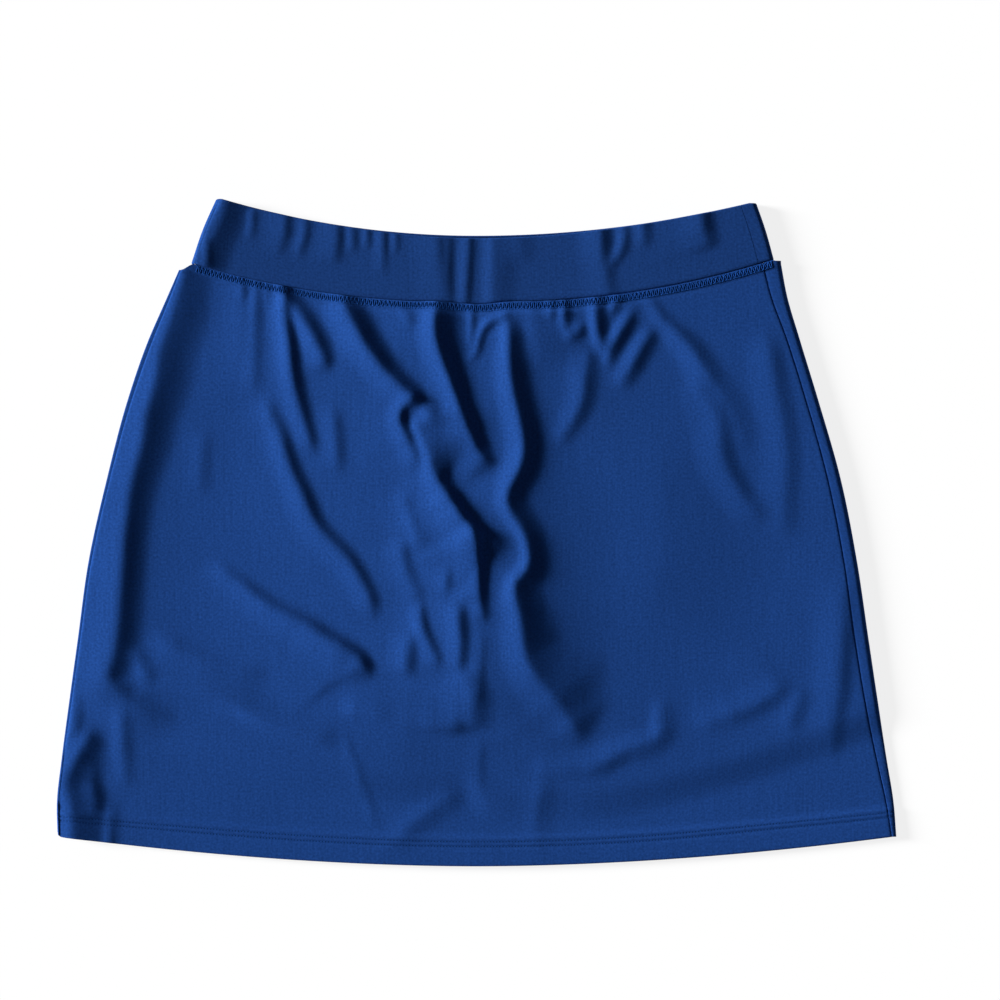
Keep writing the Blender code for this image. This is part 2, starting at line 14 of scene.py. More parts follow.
import bpy
import numpy as np
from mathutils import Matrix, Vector

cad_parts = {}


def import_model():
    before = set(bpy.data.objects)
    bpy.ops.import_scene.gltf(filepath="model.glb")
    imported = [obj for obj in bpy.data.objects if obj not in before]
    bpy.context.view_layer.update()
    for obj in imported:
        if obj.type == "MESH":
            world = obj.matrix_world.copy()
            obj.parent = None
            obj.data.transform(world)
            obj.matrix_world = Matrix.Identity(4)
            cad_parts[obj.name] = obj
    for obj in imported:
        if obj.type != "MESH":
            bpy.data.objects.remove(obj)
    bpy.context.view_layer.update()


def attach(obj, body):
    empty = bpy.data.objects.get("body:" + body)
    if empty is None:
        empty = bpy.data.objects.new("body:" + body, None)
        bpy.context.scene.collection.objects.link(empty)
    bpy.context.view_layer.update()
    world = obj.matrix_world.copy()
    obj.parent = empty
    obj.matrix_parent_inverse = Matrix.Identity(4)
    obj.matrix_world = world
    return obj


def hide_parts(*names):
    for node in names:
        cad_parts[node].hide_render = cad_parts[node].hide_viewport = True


MM = 0.001
ROOT = "root"
log = logging.getLogger("skort")

Curve = Callable[[np.ndarray], np.ndarray]
Points = Sequence[tuple[float, float]]
Course = float | Sequence[float]


class Side(Enum):
    """The wearer's sides as they lie in the photo."""

    LEFT = -1
    RIGHT = 1


class Slot(Enum):
    """The record's material slots."""

    SKIRT = "skirt_cloth"
    WAISTBAND = "waistband_cloth"
    SHORTS = "shorts_cloth"
    THREAD = "sewing_thread"


def ease(share: np.ndarray) -> np.ndarray:
    """A smooth step from 0 to 1.

    Args:
        share: values that are clipped to 0 to 1 first.

    Returns:
        The eased values.
    """
    share = np.clip(share, 0, 1)
    return share * share * (3 - 2 * share)


def mix(start: np.ndarray, end: np.ndarray, share: np.ndarray) -> np.ndarray:
    """The value at a share of the way from start to end."""
    return start + (end - start) * share


def lifted(x: np.ndarray, y: np.ndarray, z: np.ndarray) -> np.ndarray:
    """Points from three arrays that broadcast together."""
    return np.stack(np.broadcast_arrays(x, y, z), axis=-1)


@dataclass(frozen=True)
class SideStation:
    """The skirt's outline at one height, in millimetres."""

    height: float
    left: float
    right: float
    seam_inset: float
    back_shows: float


@dataclass(frozen=True)
class BandStation:
    """The waistband's outline at one height, in millimetres."""

    height: float
    left: float
    right: float


@dataclass(frozen=True)
class HemStation:
    """How far above the hem's edge the upper row of hem stitches runs at one place across."""

    across: float
    stitch_rise: float


SKIRT_SIDES = (
    SideStation(height=-206, left=-283.0, right=283.6, seam_inset=3.0, back_shows=0.6),
    SideStation(height=-181, left=-283.4, right=281.6, seam_inset=5.0, back_shows=0.8),
    SideStation(height=-154, left=-280.4, right=277.2, seam_inset=6.6, back_shows=1.0),
    SideStation(height=-113, left=-275.0, right=270.8, seam_inset=8.6, back_shows=1.6),
    SideStation(height=-73, left=-269.5, right=264.8, seam_inset=9.2, back_shows=1.8),
    SideStation(height=-19, left=-262.0, right=256.7, seam_inset=8.8, back_shows=2.0),
    SideStation(height=35, left=-250.0, right=245.9, seam_inset=8.8, back_shows=2.2),
    SideStation(height=89, left=-235.8, right=230.4, seam_inset=8.4, back_shows=3.0),
    SideStation(height=130, left=-221.6, right=217.8, seam_inset=8.8, back_shows=3.4),
    SideStation(height=157, left=-209.8, right=209.8, seam_inset=10.6, back_shows=2.6),
    SideStation(height=179, left=-200.2, right=205.6, seam_inset=12.0, back_shows=1.4),
)

BAND_SIDES = (
    BandStation(height=182, left=-192.6, right=201.6),
    BandStation(height=204, left=-184.6, right=195.0),
    BandStation(height=225, left=-174.6, right=187.0),
)

HEM_STITCHES = (
    HemStation(across=-283, stitch_rise=14.0),
    HemStation(across=-200, stitch_rise=16.2),
    HemStation(across=-120, stitch_rise=16.8),
    HemStation(across=0, stitch_rise=16.5),
    HemStation(across=100, stitch_rise=16.4),
    HemStation(across=200, stitch_rise=18.0),
    HemStation(across=283, stitch_rise=16.8),
)


def through(values: np.ndarray, slopes: np.ndarray, low: np.ndarray, share: np.ndarray,
            span: np.ndarray | float = 1.0) -> np.ndarray:
    """A smooth curve through a row of values.

    Args:
        values: the values that the curve passes through.
        slopes: how steeply it passes through each of them.
        low: for each place, the number of the value before it.
        share: for each place, its share of the way to the next value.
        span: for each place, the distance between the two values.

    Returns:
        The curve at each place.
    """
    before, after = (1 - share) ** 2, share * share
    level = values[low] * (1 + 2 * share) * before + values[low + 1] * after * (3 - 2 * share)
    return level + span * (slopes[low] * share * before - slopes[low + 1] * after * (1 - share))


def along_table(stations: Sequence[object], key: str, column: str, at: np.ndarray) -> np.ndarray:
    """One column of a table of stations, as a smooth curve.

    Args:
        stations: the table's rows, in rising order of key.
        key: the column that the curve is read along.
        column: the column that is read.
        at: places along key, in metres.

    Returns:
        The column's values there, in metres.
    """
    keys = np.array([getattr(row, key) for row in stations]) * MM
    values = np.array([getattr(row, column) for row in stations]) * MM
    slopes = np.gradient(values, keys)
    at = np.clip(at, keys[0], keys[-1])
    low = np.clip(np.searchsorted(keys, at) - 1, 0, len(keys) - 2)
    span = keys[low + 1] - keys[low]
    return through(values, slopes, low, (at - keys[low]) / span, span)


@dataclass(frozen=True)
class Outline:
    """The garment's outline and seams as they lie, all in metres."""

    hem_lowest: float = -225.5 * MM
    hem_rise: float = 20.2 * MM
    hem_half_width: float = 283.5 * MM
    hem_curve: float = 1.85
    hem_corner: float = -283.2 * MM
    hem_corner_round: float = 4 * MM
    waist_seam_lowest: float = 155.2 * MM
    waist_seam_rise: float = 27.5 * MM
    waist_seam_half_width: float = 195 * MM
    waist_seam_curve: float = 2.2
    seam_wave: float = 1.0 * MM
    seam_wave_spacing: float = 30 * MM
    waist_top_lowest: float = 200.2 * MM
    waist_top_rise_left: float = 27 * MM
    waist_top_rise_right: float = 21 * MM
    waist_top_half_width: float = 180 * MM
    waist_corner_left: float = -174.6 * MM
    waist_corner_right: float = 187.0 * MM
    waist_corner_round: float = 3 * MM
    back_waist_shows: float = 1.8 * MM
    back_waist_span: float = 144 * MM
    shoulder_drop: float = 7 * MM
    shoulder_width: float = 11 * MM
    shoulder_ease: float = 3 * MM
    seam_gap: float = 0.3 * MM
    steps: int = 30

    def corner_round(self, x: np.ndarray, corner: float, radius: float, side: Side) -> np.ndarray:
        """How far a level edge turns away at its end, round a corner that faces side."""
        into = np.clip(1 - side.value * (corner - x) / radius, 0, 1)
        return radius * (1 - np.sqrt(1 - into ** 2))

    def hem(self, x: np.ndarray) -> np.ndarray:
        """The hem's edge, as a height for each x."""
        curve = self.hem_lowest + self.hem_rise * np.abs(x / self.hem_half_width) ** self.hem_curve
        return curve + self.corner_round(x, self.hem_corner, self.hem_corner_round, Side.LEFT)

    def stitch_rise(self, x: np.ndarray) -> np.ndarray:
        """How far above the hem's edge the upper row of hem stitches runs."""
        return along_table(HEM_STITCHES, "across", "stitch_rise", x)

    def waist_seam(self, x: np.ndarray) -> np.ndarray:
        """The seam between skirt and waistband, waved a little where the skirt is gathered."""
        reach = np.abs(x / self.waist_seam_half_width) ** self.waist_seam_curve
        wave = np.cos(np.pi * x / self.seam_wave_spacing) * ease(1 - np.abs(x) / (2 * self.seam_wave_spacing))
        return self.waist_seam_lowest + self.waist_seam_rise * reach - self.seam_wave * wave

    def waist_top(self, x: np.ndarray) -> np.ndarray:
        """The waistband's top edge at the back."""
        rise = np.where(np.asarray(x) < 0, self.waist_top_rise_left, self.waist_top_rise_right)
        rounding = (self.corner_round(x, self.waist_corner_left, self.waist_corner_round, Side.LEFT)
                    + self.corner_round(x, self.waist_corner_right, self.waist_corner_round, Side.RIGHT))
        return self.waist_top_lowest + rise * (x / self.waist_top_half_width) ** 2 - rounding

    def front_top(self, x: np.ndarray) -> np.ndarray:
        """The waistband's top edge at the front, a little lower than the back's in its middle."""
        return self.waist_top(x) - self.back_waist_shows * ease(1 - np.abs(x / self.back_waist_span))

    def skirt_top(self, x: np.ndarray) -> np.ndarray:
        """The skirt's sewn edge, which drops at the shoulders where the skirt is the wider."""
        foot = np.array(BAND_SIDES[0].height * MM)
        left = self.band_left(foot) + self.shoulder_ease - x
        right = x - self.band_right(foot) + self.shoulder_ease
        drop = ease(left / self.shoulder_width) + ease(right / self.shoulder_width)
        return self.waist_seam(x) - self.seam_gap - self.shoulder_drop * drop

    def skirt_left(self, y: np.ndarray) -> np.ndarray:
        """The skirt's left edge."""
        return along_table(SKIRT_SIDES, "height", "left", y)

    def skirt_right(self, y: np.ndarray) -> np.ndarray:
        """The skirt's right edge."""
        return along_table(SKIRT_SIDES, "height", "right", y)

    def seam_inset(self, y: np.ndarray) -> np.ndarray:
        """How far inside the right edge the side seam lies on the face."""
        return along_table(SKIRT_SIDES, "height", "seam_inset", y)

    def back_shows(self, y: np.ndarray) -> np.ndarray:
        """How far the back stands out beyond the front's left edge."""
        return along_table(SKIRT_SIDES, "height", "back_shows", y)

    def band_left(self, y: np.ndarray) -> np.ndarray:
        """The waistband's left edge."""
        return along_table(BAND_SIDES, "height", "left", y)

    def band_right(self, y: np.ndarray) -> np.ndarray:
        """The waistband's right edge."""
        return along_table(BAND_SIDES, "height", "right", y)

    def corner_x(self, level: Curve, side: Curve) -> np.ndarray:
        """Where a side edge, an x for a height, meets a level edge, a height for an x."""
        x = side(level(np.array(0.0)))
        for _ in range(self.steps):
            x = side(level(x))
        return x

    def patch(self, bottom: Curve, top: Curve, left: Curve, right: Curve,
              u: np.ndarray, v: np.ndarray) -> tuple[np.ndarray, np.ndarray]:
        """Points of a panel whose four edges are curves.

        Args:
            bottom: the lower edge, a height for each x; top is the upper one.
            top: the upper edge.
            left: the left edge, an x for each height; right is the right one.
            right: the right edge.
            u: shares of the way across.
            v: shares of the way up.

        Returns:
            The points' x and y.
        """
        low_left, low_right = self.corner_x(bottom, left), self.corner_x(bottom, right)
        high_left, high_right = self.corner_x(top, left), self.corner_x(top, right)
        low_x = mix(low_left, low_right, u)
        high_x = mix(high_left, high_right, u)
        left_y = mix(bottom(low_left), top(high_left), v)
        right_y = mix(bottom(low_right), top(high_right), v)
        side_x = mix(left(left_y), right(right_y), u)
        straight_x = mix(mix(low_left, high_left, v), mix(low_right, high_right, v), u)
        return mix(low_x, high_x, v) + side_x - straight_x, mix(bottom(low_x), top(high_x), v)

    def skirt_point(self, u: np.ndarray, v: np.ndarray) -> tuple[np.ndarray, np.ndarray]:
        """A point of the skirt's whole outline, at u of its width and v of its length."""
        return self.patch(self.hem, self.skirt_top, self.skirt_left, self.skirt_right, u, v)


@dataclass(frozen=True)
class Crease:
    """A ridge of cloth whose crest runs through a few points, in millimetres.

    Seen from the crest's first point to its last, the cloth falls on the left hand over `fall` and rises
    towards the crest on the right hand over `rise`. height, rise and fall each hold one value, or several
    from the crest's first end to its last. edge is how sharply the cloth leaves the crest, foot how
    sharply the fall meets the cloth below, and rise_foot the same for the rise. The tail is the share of
    the height that builds up from further off, over `spread` times the rise.
    """

    name: str
    crest: Points
    height: Course
    rise: Course
    fall: Course
    edge: float = 0.5
    foot: float = 0.1
    rise_foot: float = 0.1
    tail: float = 0.42
    tail_edge: float = 0.6
    spread: float = 3.2

    def line(self, steps: int = 8) -> np.ndarray:
        """The crest as many short runs, in metres."""
        knots = np.array(self.crest, float) * MM
        slopes = np.gradient(knots, axis=0)
        place = np.linspace(0, len(knots) - 1, steps * (len(knots) - 1) + 1)
        low = np.minimum(place.astype(int), len(knots) - 2)
        return through(knots, slopes, low, (place - low)[:, None])

    @staticmethod
    def along(values: Course, place: np.ndarray) -> np.ndarray:
        """Values spread evenly along the crest, eased from one to the next, in metres."""
        knots = np.array(values, float) * MM
        if knots.ndim == 0:
            return np.full(place.shape, knots)
        step = place * (len(knots) - 1)
        low = np.minimum(step.astype(int), len(knots) - 2)
        return mix(knots[low], knots[low + 1], ease(step - low))

    def lift(self, x: np.ndarray, y: np.ndarray) -> np.ndarray:
        """How far this crease lifts the cloth at each point of two flat arrays, in metres."""
        line = self.line()
        start, step = line[:-1], np.diff(line, axis=0)
        run = np.hypot(*step.T)
        travelled = np.concatenate([[0], np.cumsum(run)])
        off_x = x[:, None] - start[:, 0]
        off_y = y[:, None] - start[:, 1]
        along = np.clip((off_x * step[:, 0] + off_y * step[:, 1]) / run ** 2, 0, 1)
        gap = np.hypot(off_x - along * step[:, 0], off_y - along * step[:, 1])
        near = gap.argmin(axis=1)
        here = np.arange(len(near))
        falls = (step[:, 0] * off_y - step[:, 1] * off_x)[here, near] > 0
        place = (travelled[near] + along[here, near] * run[near]) / travelled[-1]
        gap = gap[here, near]
        down = self.profile(np.clip(gap / self.along(self.fall, place), 0, 1), self.edge, self.foot)
        rise = self.along(self.rise, place)
        up = self.profile(np.clip(gap / rise, 0, 1), self.edge, self.rise_foot)
        far = self.profile(np.clip(gap / (self.spread * rise), 0, 1), self.tail_edge, 0.0)
        return self.along(self.height, place) * np.where(falls, down, mix(up, far, self.tail))

    @staticmethod
    def profile(out: np.ndarray, edge: float, foot: float) -> np.ndarray:
        """Height left at a share of the way out from the crest, from 1 down to 0."""
        level = (1 + 2 * out) * (1 - out) ** 2
        return level - 2 * edge * out * (1 - out) ** 2 + 2 * foot * out ** 2 * (1 - out)

    def reach(self) -> float:
        """How far from its crest this crease can lift the cloth, in metres."""
        return float(max(self.spread * np.max(self.rise), np.max(self.fall))) * MM


@dataclass
class Relief:
    """The folds of one piece, laid on a fine raster and melted together.

    The raster runs from low to high, in metres. Melting takes in melt_reach times the melt distance, and
    rim keeps every reading inside the raster's last cell.
    """

    creases: Sequence[Crease]
    low: tuple[float, float] = (-0.3, -0.24)
    high: tuple[float, float] = (0.3, 0.24)
    step: float = 1.0 * MM
    melt: float = 1.3 * MM
    melt_reach: float = 3
    rim: float = 1.001
    raster: np.ndarray = field(init=False, repr=False)

    def __post_init__(self) -> None:
        """Lays every crease on the raster once."""
        across = np.arange(self.low[0], self.high[0] + self.step, self.step)
        up = np.arange(self.low[1], self.high[1] + self.step, self.step)
        field_x, field_y = np.meshgrid(across, up)
        lift = np.zeros(field_x.shape)
        for crease in self.creases:
            line, reach = crease.line(), crease.reach()
            low, high = line.min(axis=0) - reach, line.max(axis=0) + reach
            inside = (field_x > low[0]) & (field_x < high[0]) & (field_y > low[1]) & (field_y < high[1])
            lift[inside] += crease.lift(field_x[inside], field_y[inside])
        self.raster = self.melted(lift)

    def melted(self, lift: np.ndarray) -> np.ndarray:
        """The raster softened over the melt distance."""
        reach = math.ceil(self.melt_reach * self.melt / self.step)
        offsets = np.arange(-reach, reach + 1)
        weights = np.exp(-0.5 * (offsets * self.step / self.melt) ** 2)
        weights /= weights.sum()
        for axis in (0, 1):
            lift = sum(weight * np.roll(lift, offset, axis) for offset, weight in zip(offsets, weights))
        return lift

    def lift(self, x: np.ndarray, y: np.ndarray) -> np.ndarray:
        """How far the folds lift the cloth at each point, in metres."""
        x, y = np.broadcast_arrays(x, y)
        col = np.clip((x - self.low[0]) / self.step, 0, self.raster.shape[1] - self.rim)
        row = np.clip((y - self.low[1]) / self.step, 0, self.raster.shape[0] - self.rim)
        left, under = col.astype(int), row.astype(int)
        col, row = col - left, row - under
        lower = mix(self.raster[under, left], self.raster[under, left + 1], col)
        upper = mix(self.raster[under + 1, left], self.raster[under + 1, left + 1], col)
        return mix(lower, upper, row)


SKIRT_CREASES = (
    Crease("broad swell", (
        (-64, 175), (-52, 120), (-40, 60), (-34, 0), (-40, -60), (-46, -120), (-50, -185)),
        height=(2.2, 4.6, 5.4, 5.6, 5.6, 4.6, 1), rise=165, fall=250, edge=0.3, tail=0),
    Crease("side roll", (
        (-196, 182), (-198, 172), (-201.5, 160), (-204.5, 150), (-208, 140), (-211.5, 130), (-214.5, 120),
        (-216, 108), (-218, 98), (-221, 88), (-223.5, 79), (-225, 66), (-227.5, 54), (-231.5, 40),
        (-234.5, 26), (-236, 12), (-237.5, 0), (-239, -20), (-240.5, -42), (-242, -62), (-244.5, -80),
        (-249, -97), (-243, -106), (-236, -113.5), (-227, -118.5), (-212, -123), (-198, -127)),
        height=(3.4, 4.4, 4.8, 4.8, 4.4, 4.2, 4.2, 4, 3.8, 2.2, 0),
        rise=(22, 28, 32, 34, 36, 36, 36, 34, 18), fall=(20, 28, 27, 23, 20, 17, 17, 17, 15, 9), edge=0.6,
        tail=0),
    Crease("patch by the side roll", ((-230, -74), (-228, -86), (-223, -95), (-214, -99)),
           height=(0, 1.2, 1.2, 0), rise=8, fall=9),
    Crease("left upright", (
        (-243, -112), (-240, -122), (-239.5, -134), (-239, -148), (-238, -162), (-237, -176)),
        height=(0, 1.2, 1.1, 0.8, 0), rise=9, fall=9, tail=0),
    Crease("corner, outer", (
        (-257, -129), (-261.5, -137), (-268, -148), (-273.5, -158), (-277.5, -168), (-276.5, -176),
        (-274.5, -184), (-273.5, -195), (-273, -212)),
        height=(0, 3, 4.2, 4.8, 4.8, 4.6, 4.4), rise=(14, 18, 22, 22, 22), fall=(9, 16, 24, 27, 27),
        foot=0.3, tail=0),
    Crease("corner, lobe", ((-256, -152), (-258, -162), (-259, -172), (-257.5, -182), (-257, -194)),
           height=(0, 0.9, 1.2, 1, 0), rise=10, fall=7, tail=0),
    Crease("corner, inner", ((-249, -176), (-247.5, -186), (-248, -198), (-249, -212)),
           height=(0, 1.1, 1.4), rise=4, fall=8, edge=0.6, tail=0),
    Crease("corner, small", ((-270, -104), (-270, -116), (-271, -128), (-274, -138), (-275, -146)),
           height=(0, 1, 1.4, 0), rise=5, fall=6),
    Crease("faint, far left, upper", ((-158, 163), (-158, 148), (-159, 130), (-161, 108)),
           height=(0.5, 0.6, 0.4, 0), rise=14, fall=6, tail=0),
    Crease("tuck, far left", ((-158, 169), (-157.5, 162), (-157, 155)),
           height=(1, 0.9, 0), rise=5, fall=3.5),
    Crease("upright, left", (
        (-149, 167), (-149, 158), (-149.5, 148), (-150, 132), (-150.5, 112), (-151, 88)),
        height=(1.2, 1.5, 1.4, 1.1, 0), rise=(4, 10, 12, 12), fall=(6, 9, 10)),
    Crease("small tuck, left", ((-141, 167), (-141, 158), (-141, 150)),
           height=(0.9, 0.7, 0), rise=3, fall=3),
    Crease("second upright", (
        (-131, 166), (-130, 152), (-128.5, 140), (-127, 130), (-126, 120), (-125, 110), (-123.5, 100),
        (-121, 90), (-118, 80), (-115, 70), (-111.5, 60), (-107, 50)),
        height=(2, 3.2, 3.5, 3.4, 3, 2.7, 2.2, 0), rise=(8, 9, 10, 11, 12, 11, 9),
        fall=(5, 6, 7, 8, 7, 5), edge=0.55),
    Crease("tuck, left", (
        (-132, 165), (-127, 157), (-122.5, 151), (-116.5, 142.5), (-111.5, 134.5), (-107, 126),
        (-102.5, 116), (-98, 107)),
        height=(2.4, 3.6, 4.2, 4, 3, 0), rise=(6, 10, 12, 12), fall=(8, 11, 10, 7), edge=0.6),
    Crease("long diagonal", (
        (-142.5, 95), (-139, 80), (-134.5, 70), (-131.5, 62), (-129, 53), (-125, 42), (-122, 35),
        (-118.5, 28), (-114.5, 18), (-110.5, 9), (-105, 1), (-97.5, -7), (-91, -13.5), (-85.5, -20),
        (-81, -27), (-77, -34), (-73.5, -41), (-71, -49), (-69.5, -62)),
        height=(0, 1.8, 2.7, 2.9, 3, 3, 3, 2.8, 2.2, 0), rise=(9, 12, 14, 16, 16, 14, 12),
        fall=(6, 8, 8, 8, 8, 8, 8)),
    Crease("beside the diagonal", ((-100, 90), (-96.5, 76), (-95, 63), (-94, 50), (-92, 36)),
           height=(0, 1.3, 1.3, 0), rise=10, fall=8),
    Crease("low diagonal", (
        (-178, -17), (-172, -25), (-161, -33.5), (-151, -41), (-142, -48), (-131, -54.5), (-120, -60),
        (-110, -65.5), (-100, -72), (-90, -77.5), (-81, -83.5), (-75, -91), (-71, -101)),
        height=(0, 1.6, 2.6, 3.2, 3.6, 4.2, 4.4, 3.4, 0), rise=(12, 14, 16, 18, 20, 24, 24),
        fall=(6, 7, 8, 8, 8, 6)),
    Crease("lowest diagonal", (
        (-222, -67), (-208, -76), (-195, -83), (-180, -88.5), (-160, -93), (-138, -96)),
        height=(0, 1.4, 1.6, 1.2, 0), rise=14, fall=11),
    Crease("left leg's hem", (
        (-88, -141), (-104, -139), (-120, -135), (-136, -130), (-150, -124), (-164, -116), (-180, -110.5),
        (-200, -106.5), (-222, -104)),
        height=(0, 1.4, 1.6, 1.9, 2, 1.8, 1.4, 1), rise=20, fall=8, tail=0),
    Crease("faint, far left", ((-184, 74), (-185, 56), (-186, 38), (-186, 20)),
           height=(0, 0.8, 0.8, 0), rise=13, fall=9),
    Crease("hooked fold", (
        (-91, 160), (-88.5, 150.5), (-85, 144), (-81, 136.5), (-77, 129), (-71.5, 121), (-65.5, 113),
        (-59, 105.5), (-52, 99), (-45.5, 93), (-39, 87.5), (-31, 82)),
        height=(4.2, 5.4, 5.8, 5.6, 5.2, 4.4, 1.2), rise=(14, 17, 17, 16, 15, 13, 9),
        fall=(15, 14, 13, 11, 10, 8), edge=0.55),
    Crease("curl", (
        (-34, 89), (-42, 89.5), (-48, 86.5), (-51.5, 81), (-51.5, 75), (-49, 68), (-45.5, 61), (-42, 53),
        (-38, 42)),
        height=(0, 2.2, 3, 3, 1.8, 0), rise=(6, 10, 14, 12), fall=(5, 5.5, 6, 6), edge=0.6),
    Crease("tip of the curl", ((-8, 73), (-16, 75.5), (-24, 77.5), (-32, 79), (-41, 80.5)),
           height=(0.8, 1.4, 2, 2.4, 0.4), rise=11, fall=(5, 6, 7, 6), edge=0.6),
    Crease("short steep fold", (
        (-44, 81), (-41.5, 75), (-39, 69), (-36.5, 63), (-34, 57), (-31.5, 50), (-30.5, 44), (-27.5, 37),
        (-22.5, 29), (-16.5, 20.5), (-11, 12.5), (-5.5, 5.5), (0.5, -0.5), (8, -4), (14, -8), (18, -14)),
        height=(0, 2.6, 3.5, 3.9, 4.6, 5.4, 5.8, 5.2, 2.6, 0),
        rise=(3.5, 6.5, 7, 9, 14, 18, 22, 22, 10, 6), fall=(12, 30, 34, 20, 9, 8, 8, 8, 6, 5), edge=0.55),
    Crease("centre upright", (
        (-8, 9), (-2, 0), (0.5, -7), (1.2, -15), (1.5, -25), (1.5, -35), (2.3, -45), (4.3, -55),
        (7, -64)),
        height=(0, 2.6, 3.2, 3.2, 2.8, 1.8, 0), rise=(22, 22, 16, 13, 11), fall=(6, 6, 6, 5), edge=0.65),
    Crease("gather by the deepest", ((-52, 153), (-46, 145), (-41, 136)),
           height=(1, 1.1, 0), rise=8, fall=6),
    Crease("deepest fold", (
        (-27, 160), (-28, 150), (-29, 141), (-28, 131), (-25.2, 121), (-21.5, 111), (-17.5, 101),
        (-14, 91), (-10, 80.5), (-6, 71), (-1.8, 61), (2.5, 53), (8, 47.5), (14, 42)),
        height=(4.2, 5.2, 5.6, 5.6, 5.4, 5, 4.8, 4.6, 3.6, 0),
        rise=(9, 12, 14, 14, 13, 12, 16, 22, 20, 8), fall=(18, 17, 14, 12, 11, 10, 9, 7), edge=0.65),
    Crease("centre right", (
        (20.5, 152), (21, 140), (21.5, 130), (21.5, 120), (22.2, 110), (23.5, 100), (25.5, 90), (28, 80),
        (30, 70), (31.5, 60), (31, 52), (29, 44), (25.5, 37), (22, 30), (20.3, 23.5), (21, 18),
        (24.5, 11), (28.5, 5), (32, -2), (34, -9), (35, -17), (34, -23), (31, -28), (26, -33),
        (25.5, -39), (26.5, -46), (29, -56), (30.5, -68), (32, -78), (34, -86), (39.5, -96),
        (47.5, -105.5), (55, -115), (62, -125), (68.5, -135), (75, -144)),
        height=(0.6, 4, 4.6, 4.8, 5, 4.8, 4.4, 4, 4, 4.4, 4.8, 5.2, 5.2, 4.4, 3, 0),
        rise=(8, 9, 12, 14, 14, 13, 11, 8, 8, 8, 14, 18, 20, 22, 16, 10),
        fall=(10, 12, 14, 14, 14, 14, 14, 14, 14, 16, 20, 26, 36, 46, 32, 12), edge=0.6),
    Crease("small tuck, centre", ((-3.5, 154), (-3.7, 142), (-4, 130), (-3.5, 121)),
           height=(1, 1.3, 1.1, 0), rise=3, fall=4.5, tail=0),
    Crease("flap", (
        (24, 145.5), (16, 144.5), (8.5, 141.5), (3.5, 136), (1.2, 129.5), (0, 123.5), (-3.5, 118.5),
        (-9.5, 117)),
        height=(0, 2.2, 2.4, 1.8, 1.7, 1.3, 0), rise=(5, 4, 3, 3, 4), fall=(4, 4, 4, 5, 5, 5), edge=0.6,
        tail=0.2),
    Crease("slope right of centre", ((36, 166), (40, 136), (46, 104)),
           height=(2.4, 2.2, 0), rise=26, fall=85, edge=0.3, tail=0),
    Crease("tuck right of centre", ((50.5, 157), (50.5, 149), (51.5, 142)),
           height=(1.8, 1.4, 0), rise=6, fall=6, tail=0),
    Crease("second tuck right", ((58, 157), (58.5, 148), (59.5, 140), (62, 134)),
           height=(1.8, 2, 1.3, 0), rise=5, fall=6, tail=0),
    Crease("crescent, right", ((72.5, 143), (70, 137), (65, 133.5), (57, 132)),
           height=(0, 1.6, 1.6, 0), rise=8, fall=(5, 6, 5), tail=0),
    Crease("forked tuck", ((80, 158), (80, 148), (80.5, 140), (81.5, 134), (84, 127), (88, 120)),
           height=(1.8, 2.2, 2.5, 2.2, 0), rise=(8, 7, 7), fall=(9, 9, 8, 6), tail=0),
    Crease("fork's short arm", ((94, 158), (91.5, 151), (89, 144)),
           height=(1.6, 1.1, 0), rise=4, fall=6, tail=0),
    Crease("short diagonal", ((105, 149), (99.5, 140), (95, 132.5), (91, 125), (89.5, 118), (92, 110)),
           height=(0.8, 2.1, 2.5, 2.4, 1.6, 0), rise=(6, 8, 8, 8), fall=(7, 8, 8, 7), tail=0),
    Crease("second diagonal", ((121, 140), (113.5, 129), (108, 119.5), (103, 110.5), (99, 103), (96, 95)),
           height=(0, 1.9, 2.3, 2.3, 1.5, 0), rise=(8, 10, 10, 9), fall=(8, 9, 10, 9), tail=0.2),
    Crease("right plateau", ((112, 92), (124, 40), (124, -20), (112, -84)),
           height=(0, 1.5, 1.5, 0), rise=75, fall=80, edge=0.3, tail=0),
    Crease("soft arc", (
        (77, 127), (74.5, 115), (72.5, 103), (71.7, 94), (69, 84), (64.5, 75), (58.5, 66), (52, 57)),
        height=(0, 1.5, 1.9, 1.8, 1.6, 1.1, 0), rise=(14, 15, 13, 11, 10), fall=(9, 11, 11, 9, 8),
        tail=0.2),
    Crease("strong diagonal", (
        (118, 156), (122, 149), (127, 142), (132, 137.5), (137, 132.5), (142.5, 126.5), (147.5, 120),
        (152, 112.5), (157, 105), (163, 97), (169, 88), (174, 78), (178, 66), (180, 52)),
        height=(0.8, 1.5, 2.2, 2.3, 2, 1.3, 1, 0.7, 0), rise=(10, 12, 14, 16, 18, 22, 22),
        fall=(5, 7, 11, 13, 14, 16, 16), tail=0),
    Crease("far diagonal", (
        (140, 107), (147, 98.5), (153.5, 90.5), (159.5, 82), (163, 72), (164, 61), (165.5, 51), (169, 42),
        (174, 32.5), (179.5, 24), (186, 16.5), (198, 6)),
        height=(0, 0.9, 1.2, 1.4, 1.5, 1.5, 1.2, 0), rise=(14, 20, 20, 18, 16), fall=(10, 11, 11, 10),
        edge=0.4, tail=0),
    Crease("right roll", (
        (190, 140), (195, 129), (198, 119), (200, 107), (202, 94), (205, 80), (207.3, 65), (208.5, 50),
        (208, 30), (207, 10), (207, -12)),
        height=(0, 1.4, 1.3, 1.2, 1.1, 0.9, 0), rise=(18, 20, 24), fall=(10, 12, 12, 14), edge=0.3,
        tail=0),
    Crease("dip by the right seam", (
        (246, -26), (246.5, -48), (246, -70), (245, -90), (244, -106), (241, -122), (240, -140),
        (239, -160)),
        height=(0, 0.8, 1.3, 1.4, 1.2, 0.7, 0), rise=22, fall=(9, 10, 9), edge=0.3, tail=0),
